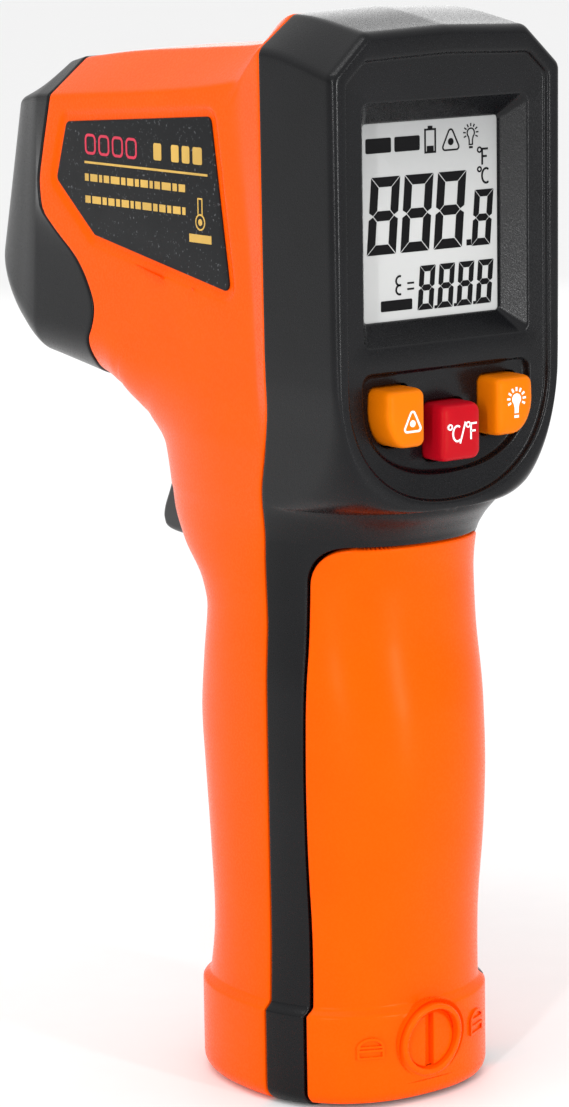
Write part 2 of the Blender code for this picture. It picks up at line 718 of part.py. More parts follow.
def screw(name, start, end, head_radius, head, shank_radius, sides=12):
    """A pan-head screw: start is the back of its head and end its tip."""
    axis = (Vector(end) - Vector(start)).normalized()
    seat = Vector(start) + axis * head
    body = rod(name, start, seat, head_radius, sides=sides)
    join(body, rod(name + "_shank", seat - axis * 0.3, end, shank_radius, sides=sides))
    settle(body)
    across = Vector((0, 0, 1)).cross(axis).normalized()
    for i, way in enumerate((across, Vector((0, 0, 1)))):
        reach = way * head_radius * 0.6
        other = way.cross(axis) * 0.3
        corners = [Vector(start) - axis * 0.5 + reach + other, Vector(start) + axis * 0.6 - reach - other]
        low = tuple(min(a, b) for a, b in zip(*corners))
        high = tuple(max(a, b) for a, b in zip(*corners))
        cut(body, block(f"{name}_drive_{i}", low, high))
    return body


# ---------------------------------------------------------------- inner pieces


def display_parts(made):
    half, low, high = 13.8, 114.7, 146.3
    node(block("display_window", (-half, -21.9, low), (half, -20.9, high)), "display_window", made["window_clear"])
    node(block("display_glass", (-half, -20.6, low), (half, -19.4, high)), "display_glass", made["display"])
    node(block("light_guide", (-half, -19.1, low), (half, -18.2, high)), "light_guide", made["natural_plastic"])
    holder = block("display_holder", (-15.8, -21.9, 112.6), (15.8, -18.2, 148.4))
    cut(holder, block("holder_opening", (-half - GAP, -30, low - GAP), (half + GAP, 0, high + GAP)))
    node(holder, "display_holder", made["natural_plastic"])
    node(block("connector_strip", (-12, -21.0, 110.2), (12, -18.2, 112.2)), "connector_strip", made["rubber"])


def board_parts(made):
    board = block("main_board", (-15.5, BOARD_Y, 93.0), (15.5, BOARD_Y + 1.6, 152.6))
    for side in (-1, 1):
        cut(board, rod(f"board_hole_{side}", (side * 10.5, -30, BOARD_SCREW_Z), (side * 10.5, 0, BOARD_SCREW_Z), 1.4, sides=12))
    node(board, "main_board", made["board_green"])
    for name, (x, z) in {"left": (-9.8, 104.0), "centre": (0.0, 100.8), "right": (9.8, 104.0)}.items():
        case = block("tact_switch_" + name, (x - 3.0, -20.3, z - 3.0), (x + 3.0, -18.2, z + 3.0))
        join(case, rod(f"tact_{name}_plunger", (x, -20.4 + GAP, z), (x, -21.4, z), 1.7, sides=12))
        node(case, "tact_switch_" + name, made["black_plastic"])
    node(block("processor", (-5, -16.0, 124.0), (5, -14.4, 134.0)), "processor", made["black_plastic"])
    node(rod("sounder", (0, -16.0, 143.5), (0, -11.5, 143.5), 5.5, sides=24), "sounder", made["black_plastic"])
    for side, word in ((-1, "left"), (1, "right")):
        start, end = (side * 10.5, -14.8, BOARD_SCREW_Z), (side * 10.5, -21.5, BOARD_SCREW_Z)
        node(screw("board_screw_" + word, start, end, 2.0, 1.2, 0.9), "board_screw_" + word, made["steel"])


def sensor_parts(made):
    tube = [(9.0, 17.5), (9.0, 0.0), (5.2, 0.0), (5.2, 10.0), (7.0, 10.0), (7.0, 17.5), (9.0, 17.5)]
    node(turned("sensor_tube", tube, (0, 41.0, SENSOR_Z), (0, 1, 0), 32), "sensor_tube", made["black_plastic"])
    node(rod("infrared_lens", (0, 53.3, SENSOR_Z), (0, 54.5, SENSOR_Z), 6.6, sides=32), "infrared_lens", made["lens"])
    ring = [(6.7, 1.8), (6.7, 0.0), (5.4, 0.0), (5.9, 1.8), (6.7, 1.8)]
    node(turned("lens_ring", ring, (0, 54.8, SENSOR_Z), (0, 1, 0), 32), "lens_ring", made["steel"])
    can = [(0, 5.2), (4.1, 5.2), (4.1, 0.8), (4.7, 0.8), (4.7, 0.0), (0, 0.0)]
    node(turned("sensor_can", can, (0, 42.0, SENSOR_Z), (0, 1, 0), 24), "sensor_can", made["steel"])
    board = block("sensor_board", (-8.5, 39.1, 122.5), (8.5, 40.7, 140.0))
    node(board, "sensor_board", made["board_green"])
    node(rod("laser_module", (0, 50.0, LASER_Z), (0, 63.8, LASER_Z), 2.5, sides=20), "laser_module", made["brass"])
    window = rod("laser_window", (0, 64.2, LASER_Z), (0, 65.0, LASER_Z), 2.9, sides=20)
    node(window, "laser_window", made["window_clear"])


def trigger_parts(made):
    y, z = TRIGGER_PIVOT
    origin = (0, y, z)
    node(trigger(), "trigger", made["dark_shell"], origin)
    node(rod("trigger_pin", (-8.4, y, z), (8.4, y, z), 0.95, sides=16), "trigger_pin", made["steel"])
    spring = coil("trigger_spring", (-1.1, y, z), (1, 0, 0), (1.7, 1.7), 0.25, 3.0, 2.2)
    node(spring, "trigger_spring", made["steel"])
    node(block("trigger_board", (-7.0, 11.6, 84.0), (7.0, 12.8, 98.0)), "trigger_board", made["board_green"])
    case = block("trigger_switch", (-3.2, 13.1, 84.6), (3.2, 17.4, 90.6))
    join(case, rod("trigger_switch_plunger", (0, 17.0, 87.6), (0, 20.4, 87.6), 1.3, sides=12))
    node(case, "trigger_switch", made["black_plastic"])


def power_parts(made):
    tray = block("battery_tray", (-12.4, -12.2, 17.0), (12.4, -4.4, 70.0))
    cut(tray, block("tray_bay", (-11.3, -20, 18.7), (11.3, CELL_Y + 0.4, 68.2)))
    for side in (-1, 1):
        x = side * CELL_X
        cut(tray, rod(f"tray_groove_{side}", (x, CELL_Y, 18.7), (x, CELL_Y, 68.2), CELL_RADIUS + 0.35, sides=24))
    node(tray, "battery_tray", made["black_plastic"])
    for name, side, foot, spring_z, plate_z in (("left", -1, 22.4, 19.2, 67.4), ("right", 1, 19.9, 65.1, 19.0)):
        x = side * CELL_X
        up = -side
        profile = [(0, CELL_LENGTH), (1.9, CELL_LENGTH), (1.9, CELL_LENGTH - 1.0), (CELL_RADIUS, CELL_LENGTH - 1.2)]
        profile += [(CELL_RADIUS, 0.2), (CELL_RADIUS - 0.4, 0.0), (0, 0.0)]
        start = foot if up > 0 else foot + CELL_LENGTH
        cell = turned("cell_" + name, profile, (x, CELL_Y, start), (0, 0, up), 20)
        node(cell, "cell_" + name, made["cell_wrap"])
        spring = coil("contact_spring_" + name, (x, CELL_Y, spring_z), (0, 0, 1), (3.2, 2.2), 0.3, 3.0, 2.5)
        node(spring, "contact_spring_" + name, made["steel"])
        plate = block("contact_plate_" + name, (x - 3.5, CELL_Y - 3.5, plate_z), (x + 3.5, CELL_Y + 3.5, plate_z + 0.5))
        node(plate, "contact_plate_" + name, made["brass"])


def key_parts(made):
    red = key("unit_key", centre_key_outline(), (0.0, 100.8), (-3.0, 95.5, 3.0, 106.1))
    node(red, "unit_key", made["key_red"], (0, -27.4, 100.8))
    for side, name in ((-1, "laser_key"), (1, "light_key")):
        near, far = sorted((side * 6.3, side * 8.9))
        amber = key(name, outer_key_outline(side), (side * 9.8, 104.0), (near, 98.5, far, 108.9))
        node(amber, name, made["key_amber"], (side * 9.8, -27.4, 104.0))


def lock_parts(made):
    origin = (0, -22.5, LOCK_Z)
    node(lock_knob(), "lock_knob", made["orange_shell"], origin)
    node(lock_cam(), "lock_cam", made["black_plastic"], origin)
    fixing = screw("lock_screw", (0, -14.2, LOCK_Z), (0, -19.2, LOCK_Z), 2.1, 1.1, 0.9)
    node(fixing, "lock_screw", made["steel"], origin)


def housing_screws(made):
    for place, (y, z, reach) in SCREW_PLACES.items():
        name = "housing_screw_" + place
        node(screw(name, (10.6, y, z), (-8.5, y, z), 2.2, 1.3, 1.05), name, made["steel"])


def build():
    for obj in list(bpy.data.objects):
        bpy.data.objects.remove(obj)
    made = make_materials()
    body = hollow_body()
    node(front_housing(body, -1), "front_housing_left", made["orange_shell"])
    node(front_housing(body, 1), "front_housing_right", made["orange_shell"])
    node(rear_frame(body), "rear_frame", made["dark_shell"])
    cover_origin = (0, COVER_PIVOT[0], COVER_PIVOT[1])
    node(battery_cover(body), "battery_cover", made["orange_shell"], cover_origin)
    node(nose_cap(body), "nose_cap", made["dark_shell"])
    node(label_plate(-1), "label_left", made["label"])
    node(label_plate(1), "label_right", made["label"])
    key_parts(made)
    lock_parts(made)
    trigger_parts(made)
    display_parts(made)
    board_parts(made)
    sensor_parts(made)
    power_parts(made)
    housing_screws(made)


build()
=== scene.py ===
"""Infrared thermometer: its looks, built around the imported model.

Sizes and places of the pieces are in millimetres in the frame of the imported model: +Y is the way the nose
points, -Y faces the user and +Z is up. Each piece's mesh is scaled to metres when it is made.
"""

import math

import bmesh
import bpy
import numpy as np
from mathutils import Matrix, Vector


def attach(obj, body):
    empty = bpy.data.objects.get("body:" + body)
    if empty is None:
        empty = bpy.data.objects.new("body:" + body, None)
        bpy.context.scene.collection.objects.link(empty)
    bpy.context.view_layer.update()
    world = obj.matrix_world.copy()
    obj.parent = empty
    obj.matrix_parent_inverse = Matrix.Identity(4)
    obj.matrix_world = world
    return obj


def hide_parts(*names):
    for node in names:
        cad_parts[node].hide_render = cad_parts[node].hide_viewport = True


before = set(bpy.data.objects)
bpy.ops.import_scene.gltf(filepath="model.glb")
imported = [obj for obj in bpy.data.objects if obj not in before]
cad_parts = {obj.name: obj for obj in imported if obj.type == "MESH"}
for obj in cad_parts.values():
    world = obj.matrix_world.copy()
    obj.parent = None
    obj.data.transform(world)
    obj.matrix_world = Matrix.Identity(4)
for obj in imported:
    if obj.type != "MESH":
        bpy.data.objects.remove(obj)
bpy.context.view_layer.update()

MM = 0.001
SPLIT = 0.15
EDGE = 0.3
SHELL = 1.6
GAP = 0.3
CORE_Y = -0.6
POWER = 2.3
BAND_TOP = 14.0
FOOT_ROUND = 2.4
HOOD_TOP = 157.0
HOOD_CORNER_Z = 151.4
HOOD_CORNER_X = 14.35
LIP_Y = -27.0
FACE_Y = -26.2
DISH_MIDDLE_Z = 106.0
FACE_HALF = 19.4
FACE_DROP = 18.7
FACE_BEND_Z = 108.0
BARREL_HALF = 19.0
NOSE_RAKE = 0.27
NOSE_TOP_Z = 143.5
NOSE_END = 61.2
COVER_FRONT = -13.0
COVER_TOP = 83.4
COVER_FOOT = 0.6
COVER_TURN = 5.5
COLLAR_Y = -10.2
SLOT_HALF = 5.5
SLOT_BEHIND_Y = 15.0
SLOT_LOW = 77.2
SLOT_HIGH = 99.0
WINDOW_HALF, WINDOW_LOW, WINDOW_HIGH = 12.2, 116.4, 144.3
WELL_HALF, WELL_LOW, WELL_HIGH = 14.8, 113.4, 147.4
WINDOW_Y = -22.8
DISH_Y = -25.2
LOCK_Z = 9.4
SENSOR_Z = 131.0
LASER_Z = 119.2
SCREWS = ((9.0, 8.5), (6.0, 46.0), (27.0, 112.5), (-3.0, 146.0))
LABEL_CORNERS = ((-0.3, 119.0), (34.6, 124.8), (44.8, 132.8), (41.6, 142.0), (3.9, 144.7))
LABEL_FACE = 18.92
DISPLAY_FACE = -22.55


# ---------------------------------------------------------------- curves


def through(*knots):
    """A smooth function through (station, value) pairs that never overshoots them."""
    stations = np.array([knot[0] for knot in knots], float)
    values = np.array([knot[1] for knot in knots], float)
    steps = np.diff(stations)
    slopes = np.diff(values) / steps
    before, after = slopes[:-1], slopes[1:]
    tangents = np.concatenate([[slopes[0]], np.zeros(len(slopes) - 1), [slopes[-1]]])
    same_way = before * after > 0
    total = np.where(same_way, before + after, 1.0)
    tangents[1:-1] = np.where(same_way, 2 * before * after / total, 0.0)

    def value(at):
        at = min(max(at, stations[0]), stations[-1])
        i = min(max(int(np.searchsorted(stations, at)) - 1, 0), len(steps) - 1)
        s = (at - stations[i]) / steps[i]
        rise = (3 - 2 * s) * s * s
        start = s * (1 - s) ** 2 * steps[i] * tangents[i]
        end = s * s * (s - 1) * steps[i] * tangents[i + 1]
        return float(values[i] * (1 - rise) + values[i + 1] * rise + start + end)

    return value


def bow(fraction, power=POWER):
    """Half-width of a rounded section, as a fraction, at a fraction of the way to its end."""
    return (1 - min(abs(fraction), 1.0) ** power) ** (1 / power)


def smooth_step(share):
    share = min(max(share, 0.0), 1.0)
    return share * share * (3 - 2 * share)


def quarter(steps=40, power=POWER):
    """(rise, run) pairs along a quarter of a rounded section, both from 0 to 1."""
    angles = np.linspace(0, math.pi / 2, steps + 1)
    rise = np.sin(angles) ** (2 / power)
    run = 1 - np.abs(np.cos(angles)) ** (2 / power)
    return list(zip(rise, run))


def resample(path, count, turn_weight=6.0):
    """count points along a path, closer together where it turns."""
    path = np.asarray(path, float)
    steps = np.diff(path, axis=0)
    lengths = np.linalg.norm(steps, axis=1)
    solid = lengths > 1e-6
    path = np.vstack([path[:1], path[1:][solid]])
    steps, lengths = steps[solid], lengths[solid]
    ways = steps / lengths[:, None]
    turns = np.arccos(np.clip((ways[1:] * ways[:-1]).sum(1), -1, 1)) * turn_weight / 2
    weights = lengths.copy()
    weights[1:] += turns
    weights[:-1] += turns
    marks = np.concatenate([[0], np.cumsum(weights)])
    at = np.linspace(0, marks[-1], count)
    return np.column_stack([np.interp(at, marks, path[:, k]) for k in range(path.shape[1])])


def filleted(points, radii, steps=8):
    """An open path with an arc of the given radius at each inner point."""
    points = [Vector(p) for p in points]
    path = [points[0]]
    for i in range(1, len(points) - 1):
        back = (points[i - 1] - points[i]).normalized()
        ahead = (points[i + 1] - points[i]).normalized()
        half = back.angle(ahead) / 2
        radius = radii[i - 1]
        centre = points[i] + (back + ahead).normalized() * radius / math.sin(half)
        first = points[i] + back * radius / math.tan(half) - centre
        last = points[i] + ahead * radius / math.tan(half) - centre
        for k in range(steps + 1):
            path.append(centre + first.normalized().slerp(last.normalized(), k / steps) * radius)
    path.append(points[-1])
    return [tuple(point) for point in path]


def rounded(corners, radius, steps=6):
    """The closed outline through these corners with each one turned into an arc."""
    looped = [corners[-1]] + list(corners) + [corners[0]]
    return filleted(looped, [radius] * len(corners), steps)[1:-1]


def offset(outline, distance):
    """A closed flat outline moved outwards by a distance."""
    points = np.array(outline, float)
    ahead = np.roll(points, -1, axis=0) - points
    ahead /= np.linalg.norm(ahead, axis=1)[:, None]
    area = np.sum(points[:, 0] * np.roll(points[:, 1], -1) - points[:, 1] * np.roll(points[:, 0], -1))
    side = math.copysign(1.0, area)
    normals = np.column_stack([ahead[:, 1], -ahead[:, 0]]) * side
    mean = normals + np.roll(normals, 1, axis=0)
    mean /= np.maximum((mean * normals).sum(1), 0.4)[:, None]
    return [tuple(p) for p in points + mean * distance]


def circle(centre, radius, count=48):
    angles = np.linspace(0, 2 * math.pi, count, endpoint=False)
    return [(centre[0] + radius * math.cos(a), centre[1] + radius * math.sin(a)) for a in angles]


# ---------------------------------------------------------------- the body's form


def over_band(*values):
    """Knots for the foot's band: its underside, its top edge and the rounded step above it."""
    return zip((0, BAND_TOP - 0.15, BAND_TOP + 0.1, BAND_TOP + 1.0, BAND_TOP + 1.3), values)


half_width = through(
    *over_band(19.85, 19.85, 19.74, 18.94, 18.82), (32, 18.5), (62, 18.5), (74, 18.0), (84, 17.7),
    (92, 18.4), (100, 19.3), (110, 20.4), (HOOD_CORNER_Z, 20.6),
)
front = through(
    *over_band(21.3, 21.3, 21.19, 20.1, 19.9), (24, 18.4), (34, 19.4), (46, 21.0), (55, 22.0), (64, 20.8),
    (71, 19.9), (75, 21.9), (80, 28.1), (85, 31.2), (92, 32.0), (97, 32.4), (100, 34.9), (102, 39.5),
    (103.4, 44),
)
back = through(
    *over_band(-21.2, -21.2, -21.09, -20.3, -20.18), (24, -20.5), (40, -22.8), (49, -23.4), (58, -22.9),
    (70, -21.0), (77, -20.8), (84, -22.3), (86.5, -24.2), (89, -26.6), (90.5, LIP_Y), (HOOD_TOP, LIP_Y),
)
side_depth = through((84, 1.0), (88, 0.9), (92, 0.42), (96, 0.24), (100, 0.14), (108, 0.06), (HOOD_TOP, 0.05))
seam = through(
    (0, -6.3), (70, -6.1), (82, -5.4), (90, -5.8), (98, -8.0), (106, -9.8), (114, COLLAR_Y), (200, COLLAR_Y),
)
nose_seam = through(
    (100, 42), (103, 40.4), (106, 37.8), (109.2, 37.0), (111, 35.9), (114, 35.2), (118, 36.9), (121.6, 40),
    (125, 45), (128.5, 48.9), (132, 49.3), (137, 48.2), (143, 46.5), (148, 45.3), (160, 45),
)
collar_crease = through((100, -7.0), (126, -5.3), (149.5, -2.4), (160, -2.4))
ridge_z = through((-27, 151.2), (COLLAR_Y, 154.5), (-6.6, 152.3), (-2.6, 149.7), (44, 145.6), (50, 145.2))
roof_z = through(
    (-27, HOOD_TOP), (COLLAR_Y, 159.2), (-6.6, 158.3), (-3.7, 156.9), (-0.3, 154.7), (13, 153.7), (31, 152.5),
    (44, 151.1), (50, 150.2),
)
roof_x = through((-27, HOOD_CORNER_X), (COLLAR_Y, HOOD_CORNER_X), (-1, 12.5), (46, 12.5), (50, 12.0))
nose_half = through((46, BARREL_HALF), (50, 18.5), (54, 17.4), (57.5, 16.2), (60, 14.9), (NOSE_END, 13.6))
nose_floor = through((46, 104), (50, 105.2), (54, 108), (57.5, 111.4), (60, 114.4), (NOSE_END, 116))
nose_shoulder = through((46, 145.6), (54, 144.8), (60, 143.8), (NOSE_END, 142.8))
nose_roof = through((46, 151), (50, 150.2), (54, 148.6), (57.5, 146.8), (60, 145.2), (NOSE_END, 143.8))
nose_lean = through((46, 0), (NOSE_END, 1))
corner_reach = through((0, 31.4), (20, 31), (36, 21), (50, 11.5), (62, 9.0), (76, 8.6), (100, 8.0))
corner_width = through((0, 1.0), (36, 0.92), (50, 0.66), (62, 0.6), (100, 0.58))


def flat_half(z):
    """Half-width of the flat of the display face at this height."""
    if z >= FACE_BEND_Z:
        return FACE_HALF
    drop = (FACE_BEND_Z - z) / FACE_DROP
    return FACE_HALF * bow(drop, FACE_POWER) if drop < 1 else 0.0


def section(z):
    """Half of the level section: from the front's centre line round the side to the rear's, as (x, y)."""
    width = half_width(z)
    rear = back(z)
    inner = min(flat_half(z), width - 0.7)
    depth = max(side_depth(z) * (CORE_Y - rear), 1.4)
    path = [(width * rise, front(z) - (front(z) - CORE_Y) * run) for rise, run in quarter()]
    for rise, run in quarter():
        path.append((width - (width - inner) * run, rear + depth * (1 - rise)))
    return path


def side(y, z):
    """Half-width of the body's side at a place in the side view."""
    width = half_width(z)
    rear = back(z)
    depth = max(side_depth(z) * (CORE_Y - rear), 1.4)
    if y < rear + depth:
        width -= (width - min(flat_half(z), width - 0.7)) * (1 - bow((rear + depth - y) / depth))
    base = min(width, BARREL_HALF)
    crease = collar_crease(z)
    along = (crease - y) / (crease - COLLAR_Y)
    ramp = min(0.5 * (along + math.sqrt(along * along + 0.003)), 1.0)
    return base + (width - base) * ramp


def between(path, high, low):
    """The stretch of a half section between two depths, high first."""
    path = np.asarray(path, float)
    ends = np.interp([-high, -low], -path[:, 1], path[:, 0])
    inner = path[(path[:, 1] < high) & (path[:, 1] > low)]
    return np.vstack([[ends[0], high], inner, [ends[1], low]])


def raised(path, z):
    """A flat path of (x, y) at one height."""
    return [(x, y, z) for x, y in path]


def foot_levels():
    """(height, shrink) of the rows that round the foot's lower edge, from its underside up."""
    rows = [(0.0, scale) for scale in (0.62, 0.75)]
    for k in range(8):
        angle = math.radians(90 * k / 7)
        pull = FOOT_ROUND * (1 - math.sin(angle))
        rows.append((FOOT_ROUND * (1 - math.cos(angle)), 1 - pull / half_width(0)))
    return rows


def levels(start, end, step):
    """Evenly spaced heights from start to just before end."""
    count = max(1, round((end - start) / step))
    return [start + (end - start) * k / count for k in range(count)]


def grip_levels(end):
    """Heights of the rows from the foot's rounding to end, denser over the band's step."""
    return levels(FOOT_ROUND + 0.8, 13.2, 1.6) + levels(13.2, 16.2, 0.15) + levels(16.2, end, 0.9)


# ---------------------------------------------------------------- mesh building


def vertices(shape, points):
    """New vertices at these points."""
    return [shape.verts.new(Vector(point)) for point in points]


def new_ring(shape, loop):
    """A closed loop of new vertices and edges."""
    ring = vertices(shape, loop)
    for i in range(len(ring)):
        shape.edges.new((ring[i - 1], ring[i]))
    return ring


def ring_edges(shape, ring):
    return [shape.edges.get((ring[i - 1], ring[i])) for i in range(len(ring))]


def fill_flat(shape, rings, ragged=()):
    """Fills the region between an outer ring, or a ragged border, and the rings in it."""
    edges = list(ragged)
    for ring in rings:
        edges += ring_edges(shape, ring)
    bmesh.ops.triangle_fill(shape, use_beauty=True, edges=edges)


def sheet(shape, rows):
    """Faces through rows of points of equal count."""
    made = [vertices(shape, row) for row in rows]
    for lower, upper in zip(made, made[1:]):
        for i in range(len(lower) - 1):
            shape.faces.new((lower[i], lower[i + 1], upper[i + 1], upper[i]))


def weld(shape, distance=0.002):
    bmesh.ops.remove_doubles(shape, verts=shape.verts, dist=distance)
    bmesh.ops.dissolve_degenerate(shape, edges=shape.edges, dist=distance / 4)


def face_away(shape, middle):
    """Turns an open skin so that its faces look away from a point inside the body."""
    bmesh.ops.recalc_face_normals(shape, faces=shape.faces)
    middle = Vector(middle)
    total = sum(f.calc_area() * f.normal.dot(f.calc_center_median() - middle) for f in shape.faces)
    if total < 0:
        bmesh.ops.reverse_faces(shape, faces=shape.faces)


def mirror(shape, keep_both):
    """Mirrors a half across the centre plane: both halves in one mesh, or only the other one."""
    faces = list(shape.faces)
    twins = {}
    for vert in list(shape.verts):
        twins[vert] = shape.verts.new((-vert.co.x, vert.co.y, vert.co.z))
    for face in faces:
        shape.faces.new([twins[v] for v in reversed(face.verts)])
    if not keep_both:
        bmesh.ops.delete(shape, geom=[v for v in shape.verts if v in twins], context="VERTS")
        return
    weld(shape)


def thicken(shape, thickness=SHELL, edge=EDGE, steps=4):
    """Closes an open skin into a shell, with its borders rolled over outwards to an edge of that radius."""
    shape.normal_update()
    skin = list(shape.faces)
    verts = list(shape.verts)
    normals = {v: v.normal.copy() for v in verts}
    inner = {v: shape.verts.new(v.co - normals[v] * thickness) for v in verts}
    outwards = {}
    borders = []
    for face in skin:
        for loop in face.loops:
            if len(loop.edge.link_faces) > 1:
                continue
            start, end = loop.vert, loop.link_loop_next.vert
            way = (end.co - start.co).cross(face.normal).normalized()
            borders.append((start, end))
            outwards[start] = outwards.get(start, Vector()) + way
            outwards[end] = outwards.get(end, Vector()) + way
    for vert, way in outwards.items():
        way -= normals[vert] * way.dot(normals[vert])
        outwards[vert] = way.normalized()
    rings = []
    for k in range(1, steps + 1):
        angle = math.pi / 2 * k / steps
        out, down = edge * math.sin(angle), edge * (1 - math.cos(angle))
        rings.append({v: shape.verts.new(v.co + w * out - normals[v] * down) for v, w in outwards.items()})
    rings.append({v: shape.verts.new(v.co + w * edge - normals[v] * thickness) for v, w in outwards.items()})
    rings.append({v: inner[v] for v in outwards})
    for face in skin:
        shape.faces.new([inner[v] for v in reversed(face.verts)])
    for start, end in borders:
        last = (start, end)
        for ring in rings:
            shape.faces.new((last[1], last[0], ring[start], ring[end]))
            last = (ring[start], ring[end])


def punch(shape, loop, inside):
    """Cuts a region out of a skin and fills from its ragged border to a neat loop, which it returns."""
    doomed = [f for f in shape.faces if inside(f.calc_center_median())]
    kept = {e for e in shape.edges if len(e.link_faces) == 1}
    bmesh.ops.delete(shape, geom=doomed, context="FACES")
    ragged = [e for e in shape.edges if len(e.link_faces) == 1 and e not in kept]
    ring = new_ring(shape, loop)
    fill_flat(shape, [ring], ragged)
    return ring


def carry_on(shape, ring, loops, close=False):
    """Walls from a ring of vertices through further loops of the same count, closed at the last if asked."""
    last = ring
    for loop in loops:
        row = vertices(shape, loop)
        for i in range(len(row)):
            shape.faces.new((last[i - 1], last[i], row[i], row[i - 1]))
        last = row
    if close:
        shape.faces.new(last)
    return last


def stack(loops, shape=None):
    """A closed solid through loops of equal count, with flat ends."""
    shape = shape or bmesh.new()
    rows = [vertices(shape, loop) for loop in loops]
    for lower, upper in zip(rows, rows[1:]):
        for i in range(len(lower)):
            shape.faces.new((lower[i - 1], lower[i], upper[i], upper[i - 1]))
    shape.faces.new(rows[0])
    shape.faces.new(rows[-1])
    return shape


def facing_user(outline, y):
    return [(u, y, v) for u, v in outline]


def facing_side(outline, x):
    return [(x, u, v) for u, v in outline]


def slab_loops(outline, place, low, high, edge, steps=4):
    """Loops of a flat-sided plate whose edges are rounded at both faces."""
    turn = [math.pi / 2 * k / steps for k in range(steps + 1)]
    loops = []
    for face, way, angles in ((low, high - low, turn), (high, low - high, turn[::-1])):
        for angle in angles:
            pull, rise = edge * (1 - math.sin(angle)), edge * (1 - math.cos(angle))
            loops.append(place(offset(outline, -pull), face + math.copysign(rise, way)))
    return loops


def prints(outlines, place, low, high):
    """Thin raised marks, one closed body for each outline."""
    shape = bmesh.new()
    for outline in outlines:
        stack([place(outline, low), place(outline, high)], shape)
    return shape


def turned_loops(profile, centre, count=64):
    """Loops of a turned shape about an axis along Y: (radius, y) pairs round (x, z)."""
    return [facing_user(circle(centre, radius, count), y) for radius, y in profile]


def piece(shape, name, material, body, slot, stands_for=(), sharp=40):
    """Finishes a mesh in millimetres as a piece of the model."""
    bmesh.ops.recalc_face_normals(shape, faces=shape.faces)
    shape.transform(Matrix.Scale(MM, 4))
    mesh = bpy.data.meshes.new(name)
    shape.to_mesh(mesh)
    shape.free()
    mesh.shade_smooth()
    mesh.set_sharp_from_angle(angle=math.radians(sharp))
    mesh.materials.append(material)
    obj = bpy.data.objects.new(name, mesh)
    bpy.context.scene.collection.objects.link(obj)
    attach(obj, body)
    if stands_for:
        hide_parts(*stands_for)
    return obj


# ---------------------------------------------------------------- front housing

BORDER = SPLIT + EDGE
NEAR_COLUMNS = 7
SIDE_COLUMNS = 58
ROOF_COLUMNS = 30
FAN_LOW = 88.0
FAN_ROWS = 70
BARREL_ROWS = 64
RIDGE_END_Z = 145.5
RIDGE_RADII = (1.0, 1.4)
ROOF_CROWN = 0.3
SCREW_SINK_RADIUS = 2.6
SCREW_FLOOR_X = 9.2


def columns(path):
    """A row's points: the first ones keep their places across, so the trigger's slot is straight."""
    path = np.asarray(path, float)
    slot = SLOT_HALF + EDGE
    wide = int(np.argmax(path[:, 0] > slot + 1.5)) + 1
    near_x = np.linspace(BORDER, slot, NEAR_COLUMNS)
    near = np.column_stack([np.interp(near_x, path[:wide, 0], path[:wide, k]) for k in range(3)])
    beyond = int(np.argmax(path[:, 0] > slot))
    return np.vstack([near, resample(np.vstack([near[-1:], path[beyond:]]), SIDE_COLUMNS)[1:]])


def front_line(low, high, count):
    """Places along the front's centre line between two heights, as (y, z)."""
    return resample([(front(z), z) for z in np.linspace(low, high, 80)], count, 0.0)


def nose_meeting():
    """Height at which the nose's seam meets the front's centre line."""
    low, high = 101.0, 103.4
    for _ in range(30):
        middle = (low + high) / 2
        if front(middle) < nose_seam(middle) - BORDER:
            low = middle
        else:
            high = middle
    return low


def fan_row(foot, top, bend):
    """From the centre line below, round the lower edge and up the side; bend shifts each height in depth."""
    foot, run = np.array(foot), np.array(top) - np.array(foot)
    length = float(np.linalg.norm(run))
    lean = math.degrees(math.atan2(run[1], -run[0]))
    reach = corner_reach(lean)
    power = POWER - 0.3 * min(lean / 60, 1.0)
    path = []

    def place(along, inset):
        y, z = foot + run * along / length
        y += bend(along / length, z)
        path.append((side(y, z) - inset, y, z))

    share = corner_width(lean)
    wide = side(*foot) * share
    place(0.0, side(*foot))
    for rise, depth in quarter(40, power):
        place(reach * depth, wide * (1 - rise))
    for along in np.linspace(reach, length, 30)[1:]:
        place(along, 0.0)
    path[0] = (0.0, path[0][1], path[0][2])
    return path


def no_bend(fraction, z):
    return 0.0


